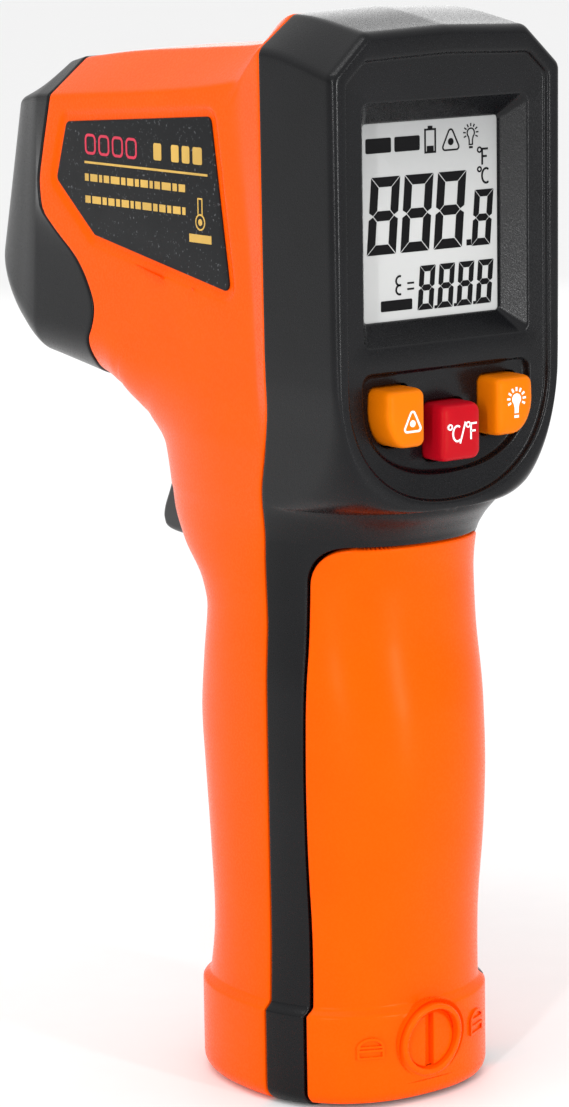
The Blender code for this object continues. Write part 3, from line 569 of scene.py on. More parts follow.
def front_rows():
    """Rows of the half skin from the foot to the nose's seam, and the roof's rows beyond the ridge."""
    rows = []
    foot = np.array(section(FOOT_ROUND))
    for z, scale in foot_levels():
        rows.append(columns(raised(between(foot * scale, foot[0][1] * scale, seam(z) + BORDER), z)))
    slot_low = SLOT_LOW - EDGE
    for z in grip_levels(slot_low) + levels(slot_low, FAN_LOW, 0.8):
        path = section(z)
        rows.append(columns(raised(between(path, path[0][1], seam(z) + BORDER), z)))
    collar = COLLAR_Y + BORDER
    feet = front_line(FAN_LOW, SLOT_HIGH + EDGE, FAN_ROWS + 1)
    for foot, z in zip(feet[:-1], np.linspace(FAN_LOW, ridge_z(collar), FAN_ROWS + 1)[:-1]):
        rows.append(columns(fan_row(foot, (seam(z) + BORDER, z), no_bend)))
    feet = front_line(SLOT_HIGH + EDGE, nose_meeting(), BARREL_ROWS + 1)
    end_y = nose_seam(RIDGE_END_Z) - BORDER
    end_z = ridge_z(end_y)
    roof = []
    for k, foot in enumerate(feet):
        share = k / BARREL_ROWS
        y = collar + (end_y - collar) * share
        top = (y, ridge_z(y))

        def bend(fraction, z, share=share):
            last_z = feet[-1][1] + (end_z - feet[-1][1]) * fraction
            chord = feet[-1][0] + (end_y - feet[-1][0]) * fraction
            return share * (nose_seam(last_z) - BORDER - chord)

        def shifted(x, z, y=y, share=share):
            return (x, y + share * (nose_seam(z) - BORDER - end_y), z)

        path = fan_row(foot, top, bend)
        crown = roof_z(y) + ROOF_CROWN
        ridge = (side(*top), *top)
        corner = filleted([path[-4], ridge, shifted(roof_x(y), roof_z(y)), shifted(0.0, crown)], RIDGE_RADII)
        middle = 5
        rows.append(columns(path[:-4] + corner[:middle + 1]))
        upper = resample(corner[middle:], ROOF_COLUMNS)
        upper[-1][0] = BORDER
        roof.append(upper)
    return rows, roof


def label_outline(grow):
    return offset(rounded(LABEL_CORNERS, 1.3), grow)


def within(outline, y, z):
    """Whether a place is inside a closed outline."""
    inside = False
    for (y0, z0), (y1, z1) in zip(outline, outline[1:] + outline[:1]):
        if (z0 > z) != (z1 > z) and y < (y1 - y0) * (z - z0) / (z1 - z0) + y0:
            inside = not inside
    return inside


def sink_label(shape):
    """The shallow recess, with a soft margin, that the label lies in."""
    outer = label_outline(3.1)
    margin = [(side(y, z), y, z) for y, z in label_outline(1.7)]
    ring = punch(shape, margin, lambda c: c.x > 18 and within(outer, c.y, c.z))
    steps = ((1.4, 0.03), (1.15, 0.12), (0.9, 0.27), (0.7, 0.37), (0.5, 0.43), (0.3, 0.45), (-0.8, 0.45))
    loops = [facing_side(label_outline(grow), BARREL_HALF - drop) for grow, drop in steps]
    carry_on(shape, ring, loops, close=True)


def sink_screw(shape, centre):
    """A deep round sink for a housing screw."""
    near = SCREW_SINK_RADIUS + EDGE + 0.9

    def around(grow, drop):
        return [(side(y, z) - drop, y, z) for y, z in circle(centre, SCREW_SINK_RADIUS + grow, 32)]

    def inside(c):
        return c.x > 8 and math.hypot(c.y - centre[0], c.z - centre[1]) < near

    ring = punch(shape, around(EDGE, 0.0), inside)
    loops = [around(EDGE * 0.6, 0.03), around(EDGE * 0.2, 0.12), around(0.0, EDGE)]
    for grow, rise in ((0.0, 0.3), (-0.3, 0.0)):
        loops.append(facing_side(circle(centre, SCREW_SINK_RADIUS + grow, 32), SCREW_FLOOR_X + rise))
    carry_on(shape, ring, loops, close=True)


def front_housing(left):
    """One moulded half of the orange front housing."""
    shape = bmesh.new()
    rows, roof = front_rows()
    sheet(shape, rows)
    sheet(shape, roof)
    weld(shape)
    slot = SLOT_HALF + EDGE
    low, high = SLOT_LOW - EDGE, SLOT_HIGH + EDGE

    def in_slot(c):
        return c.x < slot and low < c.z < high and c.y > SLOT_BEHIND_Y

    cut = [face for face in shape.faces if in_slot(face.calc_center_median())]
    bmesh.ops.delete(shape, geom=cut, context="FACES")
    sink_label(shape)
    if not left:
        for centre in SCREWS:
            sink_screw(shape, centre)
    face_away(shape, (0, 0, 60))
    thicken(shape)
    if left:
        mirror(shape, keep_both=False)
    return shape


# ---------------------------------------------------------------- rear frame

SIDE_SPLIT_Y = -18.2
OPENING_Z = 78.2
SIDE_FRAME_COLUMNS = 20
REAR_FRAME_COLUMNS = 34
HOOD_ROWS = 96
RIM_CORNER = (19.4, 150.84)
RIM_EDGE = (13.87, 155.8)
HOOD_RADII = (1.7, 1.7)
FACE_POWER = 2.2
KEY_TOP = 107.6
KEY_FOOT = 99.2
KEY_INNER, KEY_OUTER, KEY_MIDDLE = 6.45, 13.15, 10.0


def frame_row(z, end):
    """The frame's strip at one height, from the seam back to a depth."""
    return resample(raised(between(section(z), seam(z) - BORDER, end), z), SIDE_FRAME_COLUMNS)


def rear_row(z):
    """From the side round the rear corner to the face or, below it, to the centre line."""
    path = section(z)
    if flat_half(z) <= 0:
        path.append((0.0, back(z)))
    path = [p for p in path if p[1] < SIDE_SPLIT_Y]
    start = between(section(z), seam(z) - BORDER, SIDE_SPLIT_Y)[-1]
    return resample(raised([tuple(start)] + path, z), REAR_FRAME_COLUMNS, 8.0)


def face_levels():
    """Heights that go evenly round the face's lower half."""
    angles = np.linspace(0, math.pi / 2, 46)[1:]
    return [FACE_BEND_Z - FACE_DROP * abs(math.cos(a)) ** (2 / FACE_POWER) for a in angles]


def hood_columns(row):
    """Each point of the hood's first row, carried up the side, over the slant and to the roof's middle."""
    start_width = half_width(FACE_BEND_Z)
    grown = []
    for x, y, z in row:
        inset = start_width - x

        def scaled(height):
            return inset * (half_width(height) - FACE_HALF) / (start_width - FACE_HALF)

        ridge = ridge_z(y)
        path = [(half_width(h) - scaled(h), y, h) for h in np.linspace(FACE_BEND_Z, ridge - 3.0, 14)]
        pull = scaled(HOOD_CORNER_Z)
        corner = (half_width(ridge) - pull, y, ridge - 0.3 * pull)
        edge = (roof_x(y) - 0.4 * pull, y, roof_z(y) - pull)
        middle = (0.0, y, roof_z(y) - pull + 0.5)
        path += filleted([path[-1], corner, edge, middle], HOOD_RADII)[1:]
        grown.append(resample(path, HOOD_ROWS))
    return grown


def face_loop(inset, drop):
    """The half outline of the display face from its lowest point to the middle of its top, as (x, z)."""
    half, fall = FACE_HALF - inset, FACE_DROP - inset
    path = [(0.0, FACE_BEND_Z - fall)]
    for angle in np.linspace(0, math.pi / 2, 46)[1:]:
        rise, run = math.sin(angle) ** (2 / FACE_POWER), abs(math.cos(angle)) ** (2 / FACE_POWER)
        path.append((half * rise, FACE_BEND_Z - fall * run))
    across = Vector((RIM_EDGE[1] - RIM_CORNER[1], RIM_CORNER[0] - RIM_EDGE[0])).normalized()
    reach = across.dot(Vector(RIM_CORNER)) - inset
    top = RIM_EDGE[1] - drop
    corner = (half, (reach - across.x * half) / across.y)
    slant = ((reach - across.y * top) / across.x, top)
    sides = filleted([path[-1], corner, slant, (0.0, top + 0.5)], (1.6, 1.6))
    return path[:-1] + [tuple(p) for p in resample(sides, HOOD_ROWS)]


def whole_loop(half):
    """A closed loop from a half that starts and ends on the centre plane."""
    return [tuple(p) for p in half] + [(-p[0], *p[1:]) for p in half[-2:0:-1]]


def framed(half, low, high, grow, radius):
    """A rounded rectangle about the centre plane, grown by a distance."""
    return rounded(bar(-half - grow, half + grow, low - grow, high + grow), radius)


def well_outline(grow):
    return framed(WELL_HALF, WELL_LOW, WELL_HIGH, grow, 1.4)


def window_outline(grow, radius=0.5):
    return framed(WINDOW_HALF, WINDOW_LOW, WINDOW_HIGH, grow, radius)


def dish_outline(grow):
    """The half-round dish that the keys sit in."""
    half, drop, top = 15.0 + grow, 11.4 + grow, 109.6 + grow
    path = [(0.0, DISH_MIDDLE_Z - drop)]
    for angle in np.linspace(0, math.pi / 2, 28)[1:]:
        path.append((half * math.sin(angle) ** 0.85, DISH_MIDDLE_Z - drop * abs(math.cos(angle)) ** 0.85))
    path += filleted([path[-1], (half, top), (0.0, top)], [1.6])[1:]
    return whole_loop(path)


def key_outline(sign, grow=0.0):
    """A key's front, grown by a distance: -1 is the left key, 0 the centre one and 1 the right one."""
    return outer_key_outline(sign, grow) if sign else centre_key_outline(grow)


def outer_key_outline(sign, grow):
    """An outer key's front: straight inner and upper edges, and a lower outer corner on a wide curve."""
    curve = [(9.6 + 3.7 * math.cos(a), 104.6 + 5.4 * math.sin(a)) for a in np.linspace(0, -math.pi / 2, 14)]
    start = (KEY_MIDDLE, KEY_TOP)
    path = [start] + filleted([start, (KEY_OUTER, KEY_TOP), curve[0]], [1.0])[1:-1] + curve
    path += filleted([curve[-1], (KEY_INNER, KEY_FOOT), (KEY_INNER, KEY_TOP), start], [1.0, 1.0])[1:-1]
    return [(sign * x, z) for x, z in offset(path, grow)]


def centre_key_outline(grow):
    return offset(rounded(bar(-3.6, 3.6, 96.5, 104.7), 1.2), grow)


def display_face(shape, rim):
    """Lip, recessed face, display well, key dish and key holes, from the rim's loop inwards."""
    steps = ((0.35, 0.5, -27.0), (1.0, 1.9, -27.0), (1.2, 2.2, -26.93), (1.36, 2.45, -26.75))
    steps += ((1.46, 2.6, -26.45), (1.6, 2.75, -26.26), (1.8, 3.0, FACE_Y))
    loops = [[(x, y, z) for x, z in whole_loop(face_loop(inset, drop))] for inset, drop, y in steps]
    face_ring = carry_on(shape, vertices(shape, rim), loops)
    well = new_ring(shape, facing_user(well_outline(EDGE), FACE_Y))
    dish = new_ring(shape, facing_user(dish_outline(0.4), FACE_Y))
    fill_flat(shape, [face_ring, well, dish])
    well_steps = (
        (well_outline(0.1), FACE_Y + 0.06), (well_outline(-0.05), FACE_Y + 0.25),
        (window_outline(0.25, 0.7), WINDOW_Y - 0.3), (window_outline(0.0), WINDOW_Y),
        (window_outline(0.0), WINDOW_Y + 1.0),
    )
    carry_on(shape, well, [facing_user(outline, y) for outline, y in well_steps])
    dish_steps = ((0.2, 0.05), (0.05, 0.2), (-0.05, 0.5), (-0.15, 0.8), (-0.35, 0.95), (-0.6, 1.0))
    dish_loops = [facing_user(dish_outline(grow), FACE_Y + drop) for grow, drop in dish_steps]
    floor = carry_on(shape, dish, dish_loops)
    holes = [new_ring(shape, facing_user(key_outline(sign, GAP + 0.2), DISH_Y)) for sign in (-1, 0, 1)]
    fill_flat(shape, [floor] + holes)
    hole_steps = ((GAP + 0.05, 0.05), (GAP, 0.2), (GAP, 1.6))
    for sign, hole in zip((-1, 0, 1), holes):
        walls = [facing_user(key_outline(sign, grow), DISH_Y + drop) for grow, drop in hole_steps]
        carry_on(shape, hole, walls)


def rear_frame():
    """The dark one-piece frame: hood round the display and a strip down each side of the grip."""
    shape = bmesh.new()
    strip = []
    foot = np.array(section(FOOT_ROUND))
    edge_y = COVER_FRONT + GAP + EDGE
    for z, scale in foot_levels():
        if scale > 0.7:
            path = between(foot * scale, seam(z) - BORDER, edge_y)
            strip.append(resample(raised(path, z), SIDE_FRAME_COLUMNS))
    strip += [frame_row(z, edge_y) for z in grip_levels(OPENING_Z)]
    turn = COVER_TURN + EDGE
    for angle in np.radians(np.linspace(0, 90, 14)):
        strip.append(frame_row(OPENING_Z + turn * math.sin(angle), SIDE_SPLIT_Y + turn * math.cos(angle)))
    top = OPENING_Z + turn
    chin = FACE_BEND_Z - FACE_DROP
    upper = levels(top, chin, 0.55) + [chin] + face_levels()
    strip += [frame_row(z, SIDE_SPLIT_Y) for z in upper[1:]]
    rear = [rear_row(z) for z in upper]
    sheet(shape, strip)
    sheet(shape, rear)
    hood = hood_columns(list(strip[-1]) + list(rear[-1])[1:])
    sheet(shape, [[column[r] for column in hood] for r in range(HOOD_ROWS)])
    chin_row = upper.index(chin)
    rim = [row[-1] for row in rear[chin_row:]] + list(hood[-1][1:])
    mirror(shape, keep_both=True)
    display_face(shape, whole_loop([tuple(p) for p in rim]))
    weld(shape)
    face_away(shape, (0, 0, 120))
    thicken(shape, 1.3)
    return shape


# ---------------------------------------------------------------- battery cover

BOSS_RADIUS = 5.55
KNOB_SINK = 4.6
KNOB_FACE = -20.9


def rear_surface(x, z):
    """Depth of the cover's outer face at a place in the rear view."""
    return CORE_Y - (CORE_Y - back(z)) * bow(x / half_width(z))


def cover_row(z, start, scale=1.0):
    path = np.array(section(z)) * scale
    path[-1][0] = 0.0
    return resample(raised(between(path, start, path[-1][1]), max(z, COVER_FOOT)), 64)


def cover_rows():
    edge_y = COVER_FRONT - EDGE
    foot = np.array(section(FOOT_ROUND))
    rows = []
    for z, scale in foot_levels():
        if scale > 0.9 and z > COVER_FOOT:
            rows.append(resample(raised(between(foot * scale, edge_y, foot[-1][1] * scale), z), 64))
    round_z = COVER_TOP - COVER_TURN
    rows += [cover_row(z, edge_y) for z in grip_levels(round_z)]
    turn = COVER_TURN - EDGE
    for angle in np.radians(np.linspace(0, 90, 14)):
        start = COVER_FRONT - COVER_TURN + turn * math.cos(angle)
        rows.append(cover_row(round_z + turn * math.sin(angle), start))
    return rows


def battery_cover():
    """The orange back of the grip with the lock's boss in its foot."""
    shape = bmesh.new()
    sheet(shape, cover_rows())
    mirror(shape, keep_both=True)
    centre = (0.0, LOCK_Z)

    def around(radius, share):
        points = []
        for x, z in circle(centre, radius, 64):
            proud = 0.45 + 0.8 * smooth_step((z - LOCK_Z) / BOSS_RADIUS * 0.6 + 0.5)
            crest = rear_surface(x * 0.8, min(z, 12.5)) - proud
            base = rear_surface(x, z)
            points.append((x, base + (crest - base) * share, z))
        return points

    def inside(c):
        return c.y < 0 and math.hypot(c.x, c.z - LOCK_Z) < BOSS_RADIUS + 1.3

    ring = punch(shape, around(BOSS_RADIUS + 0.5, 0.0), inside)
    steps = ((0.3, 0.06), (0.14, 0.22), (0.02, 0.5), (-0.06, 0.75), (-0.16, 0.9), (-0.32, 0.98), (-0.55, 1.0))
    loops = [around(BOSS_RADIUS + grow, share) for grow, share in steps]
    steps = ((0.25, 1.0), (0.14, 0.97), (0.04, 0.88), (0.0, 0.75))
    loops += [around(KNOB_SINK + grow, share) for grow, share in steps]
    loops += turned_loops([(KNOB_SINK, -19.3), (KNOB_SINK - 0.3, -19.0), (3.0, -19.0)], centre)
    carry_on(shape, ring, loops)
    face_away(shape, (0, 0, 40))
    thicken(shape, 1.5)
    return shape


# ---------------------------------------------------------------- nose cap

NOSE_COLUMNS = 92


def nose_profile(width, floor, shoulder, roof, turn_x=5.5, turn_z=5.5):
    """Half of the nose's section from the middle of its underside to the middle of its roof, as (x, z)."""
    path = [(0.0, floor)]
    path += [(width - turn_x * (1 - rise), floor + turn_z * run) for rise, run in quarter(16, 2.0)]
    corners = [path[-1], (width, shoulder), (width - 6.5, roof), (0.0, roof + 0.3)]
    return resample(path + filleted(corners, RIDGE_RADII)[1:], NOSE_COLUMNS)


def nose_ring(y):
    lean = nose_lean(y) * NOSE_RAKE
    profile = nose_profile(nose_half(y), nose_floor(y), nose_shoulder(y), nose_roof(y))
    return np.array([(x, y + lean * (NOSE_TOP_Z - z), z) for x, z in profile])


def nose_plane(loop, drop=0.0):
    """A loop of (x, z) laid on the nose's slanting front, or behind it."""
    return [(x, NOSE_END - drop + NOSE_RAKE * (NOSE_TOP_Z - z), z) for x, z in loop]


def nose_cap():
    """The dark cap with its slanting front, sensor mouth and laser hole."""
    shape = bmesh.new()
    seam_floor = nose_meeting()
    seam_profile = nose_profile(BARREL_HALF, seam_floor, ridge_z(45), roof_z(45), 10.5, 8.0)
    start = np.array([(x, nose_seam(z) + BORDER, z) for x, z in seam_profile])
    first = 50.0
    joined = nose_ring(first)
    rows = [start + (joined - start) * k / 22 for k in range(22)]
    rows += [nose_ring(y) for y in np.linspace(first, NOSE_END, 36)]
    sheet(shape, rows)
    mirror(shape, keep_both=True)
    rim = whole_loop([tuple(p) for p in rows[-1]])
    flat = [(x, z) for x, y, z in rim]
    rounding = [nose_plane(offset(flat, -0.3)), nose_plane(offset(flat, -0.6))]
    rings = [carry_on(shape, vertices(shape, rim), rounding)]
    for z, radius, floor_y in ((SENSOR_Z, 7.6, 56.8), (LASER_Z, 2.2, 65.5)):
        ring = new_ring(shape, nose_plane(circle((0.0, z), radius + 0.5)))
        rings.append(ring)
        loops = []
        for grow, drop in ((0.3, 0.04), (0.12, 0.16), (0.02, 0.36), (0.0, 0.6)):
            loops.append(nose_plane(circle((0.0, z), radius + grow), drop))
        loops.append(facing_user(circle((0.0, z), radius), floor_y))
        carry_on(shape, ring, loops)
    fill_flat(shape, rings)
    weld(shape)
    face_away(shape, (0, 45, 128))
    thicken(shape, 1.5)
    return shape


# ---------------------------------------------------------------- drawn marks


def stroke(points, width, closed=False):
    """Flat bars along a line of points, with mitred joints, as closed outlines."""
    line = np.array(points, float)
    ahead = np.roll(line, -1, axis=0) - line
    if not closed:
        ahead[-1] = ahead[-2]
    ahead /= np.linalg.norm(ahead, axis=1)[:, None]
    normals = np.column_stack([-ahead[:, 1], ahead[:, 0]])
    before = np.roll(normals, 1, axis=0)
    if not closed:
        before[0] = normals[0]
    mean = normals + before
    mean /= np.maximum((mean * normals).sum(1), 0.5)[:, None]
    left, right = line + mean * width / 2, line - mean * width / 2
    bars = []
    for i in range(len(line) if closed else len(line) - 1):
        j = (i + 1) % len(line)
        bars.append([tuple(left[i]), tuple(left[j]), tuple(right[j]), tuple(right[i])])
    return bars


def bent(centre, radius, start, end, steps=14, squash=1.0):
    """Points along an arc, in degrees, narrowed by squash."""
    points = []
    for angle in np.radians(np.linspace(start, end, steps + 1)):
        points.append((centre[0] + radius * squash * math.cos(angle), centre[1] + radius * math.sin(angle)))
    return points


def bar(left, right, low, high):
    return [(left, low), (right, low), (right, high), (left, high)]


def figure(left, low, width, height, thick, lean=0.09):
    """The seven bars of one display figure, all of them on."""
    right, high = left + width, low + height
    middle = low + height / 2
    gap = thick * 0.07
    half = thick / 2
    near, far = left + gap, right - gap
    bars = []
    for end, way in ((high, -1), (low, 1)):
        inner = end + way * thick
        bars.append([(near, end), (far, end), (far - thick, inner), (near + thick, inner)])
    upper, lower = middle + half, middle - half
    bars.append([
        (near + half, middle), (near + thick, upper), (far - thick, upper),
        (far - half, middle), (far - thick, lower), (near + thick, lower),
    ])
    for edge, way in ((left, 1), (right, -1)):
        for end, up in ((high, 1), (low, -1)):
            foot, inner = middle + up * gap, edge + way * thick
            bars.append([
                (edge, end - up * gap), (inner, end - up * (gap + thick)), (inner, foot + up * half),
                (edge + way * half, foot), (edge, foot + up * half * 0.6),
            ])
    return [[(x + lean * (z - low), z) for x, z in outline] for outline in bars]


def unit_mark(left, low, height, width, letter):
    """A degree ring and the letter of a temperature unit."""
    ring = height * 0.14
    marks = stroke(circle((left + ring, low + height - ring), ring, 12), width * 0.8, closed=True)
    start = left + ring * 2.4
    wide = height * 0.42
    if letter == "C":
        middle = (start + wide * 0.75, low + height * 0.46)
        marks += stroke(bent(middle, height * 0.44, 55, 305, 14, 0.72), width)
    else:
        top = low + height * 0.9
        marks += stroke([(start + wide, top), (start, top), (start, low)], width)
        marks += stroke([(start, low + height * 0.48), (start + wide * 0.8, low + height * 0.48)], width)
    return marks


def beam_mark(centre, size, width):
    """A rounded triangle with a spot in it."""
    x, z = centre
    corners = ((x - size * 0.5, z - size * 0.46), (x + size * 0.5, z - size * 0.46), (x, z + size * 0.54))
    spot = circle((x, z - size * 0.12), size * 0.15, 16)
    return stroke(rounded(corners, size * 0.12, 4), width, closed=True) + [spot]


def bulb_mark(centre, size, width, filled=True):
    """A lamp with rays round its upper half."""
    x, z = centre
    radius = size * 0.17
    top = z + size * 0.12
    glass = bent((x, top), radius, -50, 230, 18)
    glass += [(x - radius * 0.45, top - radius * 1.5), (x - radius * 0.45, z - size * 0.3)]
    glass += [(x + radius * 0.45, z - size * 0.3), (x + radius * 0.45, top - radius * 1.5)]
    marks = [glass] if filled else stroke(glass, width, closed=True)
    marks.append(bar(x - radius * 0.5, x + radius * 0.5, z - size * 0.44, z - size * 0.36))
    for angle in np.radians(np.linspace(-25, 205, 9)):
        ray = [(x + r * math.cos(angle), top + r * math.sin(angle)) for r in (radius * 1.4, radius * 2.1)]
        marks += stroke(ray, width)
    return marks


def on_display(u, v):
    """A place on the display from fractions across and down its window."""
    return -WINDOW_HALF + 2 * WINDOW_HALF * u, WINDOW_HIGH - (WINDOW_HIGH - WINDOW_LOW) * v


def display_box(u0, u1, v0, v1):
    left, high = on_display(u0, v0)
    right, low = on_display(u1, v1)
    return left, right, low, high


def display_marks():
    """The display with every bar on: status row, main figures and the small row below."""
    marks = []
    for u0, u1 in ((0.03, 0.215), (0.24, 0.425)):
        left, right, low, high = display_box(u0, u1, 0.075, 0.15)
        marks.append(rounded(bar(left, right, low, high), 0.25, 3))
    left, right, low, high = display_box(0.465, 0.54, 0.05, 0.165)
    marks += stroke(bar(left, right, low, high), 0.28, closed=True)
    marks.append(bar(left + 0.5, right - 0.5, high + 0.1, high + 0.5))
    marks.append(bar(left + 0.3, right - 0.3, low + 0.1, low + 0.9))
    left, right, low, high = display_box(0.585, 0.725, 0.04, 0.17)
    marks += beam_mark(((left + right) / 2, (low + high) / 2), right - left, 0.24)
    left, right, low, high = display_box(0.75, 0.86, 0.03, 0.17)
    marks += bulb_mark(((left + right) / 2, (low + high) / 2), high - low, 0.2, filled=False)
    for v0, v1, letter in ((0.16, 0.25, "F"), (0.26, 0.345, "C")):
        left, right, low, high = display_box(0.855, 0.97, v0, v1)
        marks += unit_mark(left, low, high - low, 0.3, letter)
    for u0, u1 in ((0.05, 0.265), (0.295, 0.51), (0.54, 0.755)):
        left, right, low, high = display_box(u0, u1, 0.27, 0.66)
        marks += figure(left - 0.45, low, right - left - 0.1, high - low, 1.4, 0.085)
    left, right, low, high = display_box(0.768, 0.8, 0.62, 0.655)
    marks.append(bar(left, left + 0.85, low, low + 0.85))
    left, right, low, high = display_box(0.815, 0.96, 0.375, 0.66)
    marks += figure(left - 0.25, low, right - left - 0.1, high - low, 1.02, 0.085)
    left, right, low, high = display_box(0.24, 0.3, 0.775, 0.87)
    for level in (0.74, 0.26):
        centre = ((left + right) / 2, low + (high - low) * level)
        marks += stroke(bent(centre, (high - low) * 0.25, 70, 290, 10), 0.3)
    for level in (0.815, 0.845):
        left, right, low, high = display_box(0.325, 0.375, level - 0.004, level + 0.006)
        marks.append(bar(left, right, low, high))
    left, right, low, high = display_box(0.13, 0.36, 0.895, 0.95)
    marks.append(rounded(bar(left, right, low, high), 0.2, 3))
    for k in range(4):
        start = 0.405 + 0.145 * k
        left, right, low, high = display_box(start, start + 0.115, 0.735, 0.96)
        marks += figure(left - 0.15, low, right - left, high - low, 0.86, 0.085)
    for k in range(3):
        left, right, low, high = display_box(0.405 + 0.145 * k + 0.12, 1, 0.94, 0.96)
        marks.append(bar(left, left + 0.45, low, low + 0.45))
    return marks


# ---------------------------------------------------------------- smaller pieces


def smooth_loop(corners, per_side=6):
    """A smooth closed outline through a few places."""
    points = np.array(corners, float)
    count = len(points)
    outline = []
    for i in range(count):
        a, b, c, d = points[i - 1], points[i], points[(i + 1) % count], points[(i + 2) % count]
        for k in range(per_side):
            s = k / per_side
            outline.append(tuple(0.5 * (2 * b + (c - a) * s + (2 * a - 5 * b + 4 * c - d) * s * s
                                        + (3 * b - a - 3 * c + d) * s ** 3)))
    return outline


TRIGGER_HALF = 5.0


def trigger_blade():
    corners = (
        (30.4, 101.6), (32.6, 98.2), (34.1, 95.0), (34.9, 90.0), (36.3, 85.5), (38.1, 81.8), (38.3, 79.6),
        (36.6, 78.1), (29.5, 77.9), (24.9, 79.4), (23.4, 86.0), (23.8, 96.0), (25.2, 101.0), (27.8, 102.4),
    )
    return stack(slab_loops(smooth_loop(corners), facing_side, -TRIGGER_HALF, TRIGGER_HALF, 1.1, 6))


def label_plate(sign):
    return stack(slab_loops(label_outline(-GAP), facing_side, sign * 18.5, sign * LABEL_FACE, 0.14))


def label_marks():
    """Generic print: a rule, blocks for headings, rows of dashes and a gauge symbol, as (y, z) outlines."""
    gold = stroke([(36.6, 135.9), (4.9, 135.9)], 0.34)
    for y, width in ((18.4, 2.0), (13.9, 1.9), (11.2, 1.9), (8.5, 2.3)):
        gold.append(rounded(bar(y - width, y, 137.3, 139.8), 0.3, 2))
    dashes = (1.0, 1.9, 0.8, 1.4, 2.3, 1.1, 1.6)
    for row, (low, high) in enumerate(((133.1, 134.2), (129.8, 130.9))):
        y = 36.6
        k = 3 * row
        while y > 10.5:
            width = dashes[k % len(dashes)]
            gold.append(bar(y - width, y, low, high))
            y -= width + 0.45
            k += 1
    gold += stroke(circle((6.9, 129.0), 1.1, 18), 0.24, closed=True)
    gold += stroke([(6.4, 130.1), (6.4, 132.4), (7.4, 132.4), (7.4, 130.1)], 0.22)
    gold.append(circle((6.9, 129.0), 0.5, 14))
    gold.append(bar(4.2, 9.7, 126.0, 127.2))
    red = []
    for k in range(4):
        y = 36.2 - 3.6 * k
        red += stroke(rounded(bar(y - 2.5, y, 137.3, 140.0), 0.7, 4), 0.4, closed=True)
    return gold, red


CROWN = (
    (-22.7, 1.0), (-26.6, 1.0), (-27.9, 0.995), (-28.5, 0.978), (-28.85, 0.95), (-29.08, 0.915),
    (-29.22, 0.87), (-29.32, 0.8), (-29.4, 0.65), (-29.45, 0.45), (-29.48, 0.2),
)


def key_cap(outline, centre):
    """A key's crowned cap, through its outline drawn in towards its centre."""
    u, v = centre
    return stack([[(u + (x - u) * scale, y, v + (z - v) * scale) for x, z in outline] for y, scale in CROWN])


def knob():
    """The coin lock's knob: a disc with two raised lands either side of its slot."""
    centre = (0.0, LOCK_Z)
    radius, face, slot, floor = 4.4, KNOB_FACE, 0.75, KNOB_FACE + 1.1
    body = ((radius - 0.5, -18.4), (radius, -18.8), (radius, floor - 0.2))
    body += ((radius - 0.2, floor), (radius - 0.9, floor))
    shape = stack(turned_loops(body, centre, 72))
    start = math.degrees(math.acos(slot / radius))
    for sign in (-1, 1):
        land = [(sign * x, z) for x, z in bent(centre, radius - 0.01, -start, start, 36)]
        stack(slab_loops(land, facing_user, floor + 0.3, face, 0.2), shape)
    return shape


def lock_marks():
    """Raised marks on the foot's band: a closed lock and an open one."""
    marks = []
    for x, lift in ((-9.9, 0.0), (10.2, 0.5)):
        marks += stroke(bar(x - 1.7, x + 1.7, 7.9, 9.0), 0.34, closed=True)
        arch = [(x + px, 9.4 + lift + pz * 0.8) for px, pz in bent((0.0, 0.0), 1.7, 180, 0, 12)]
        marks += stroke([(x - 1.7, 9.2)] + arch + [(x + 1.7, 9.2 + lift)], 0.38)
        marks += stroke([(x - 1.5, 9.55 + lift), (x + 1.5, 9.55 + lift)], 0.3)
    return marks


def on_band(outline, height):
    """Lays an outline on the cover's outer face, raised by a height."""
    return [(x, rear_surface(x, z) - height, z) for x, z in outline]


# ---------------------------------------------------------------- materials

WHITE = (1.0, 1.0, 1.0)
WARM = (1.0, 0.6, 0.3)


def fed(node, values):
    """Sets a node's inputs by name: a socket is linked to its input, anything else is the input's value."""
    for name, value in values.items():
        if isinstance(value, bpy.types.NodeSocket):
            node.id_data.links.new(value, node.inputs[name])
        else:
            node.inputs[name].default_value = value
    return node


def noise(tree, place, scale, detail=3.0):
    values = {"Scale": scale, "Detail": detail, "Roughness": 0.55, "Vector": place}
    return fed(tree.nodes.new("ShaderNodeTexNoise"), values).outputs["Fac"]


def height_of(tree, place):
    return fed(tree.nodes.new("ShaderNodeSeparateXYZ"), {"Vector": place}).outputs["Z"]


def spread(tree, factor, low, high, start=0.3, end=0.7):
    """A number that follows a factor between two values."""
    values = {"From Min": start, "From Max": end, "To Min": low, "To Max": high, "Value": factor}
    return fed(tree.nodes.new("ShaderNodeMapRange"), values).outputs["Result"]


def tinted(tree, factor, dark, light, start=0.3, end=0.7):
    """A colour that follows a factor between two colours."""
    ramp = fed(tree.nodes.new("ShaderNodeValToRGB"), {"Fac": factor})
    for element, position, colour in zip(ramp.color_ramp.elements, (start, end), (dark, light)):
        element.position = position
        element.color = (*colour, 1.0)
    return ramp.outputs["Color"]


def relief(tree, height, strength, depth):
    """A surface normal that follows a height, to a depth in millimetres."""
    values = {"Strength": strength, "Distance": depth * MM, "Height": height}
    return fed(tree.nodes.new("ShaderNodeBump"), values).outputs["Normal"]


def blank(name):
    """A new material, its node tree and the object's own coordinates in it."""
    material = bpy.data.materials.new(name)
    material.use_nodes = True
    tree = material.node_tree
    return material, tree, tree.nodes.new("ShaderNodeTexCoord").outputs["Object"]


def shaded(material, values):
    """Feeds a material's shader and returns the material."""
    fed(material.node_tree.nodes["Principled BSDF"], values)
    return material


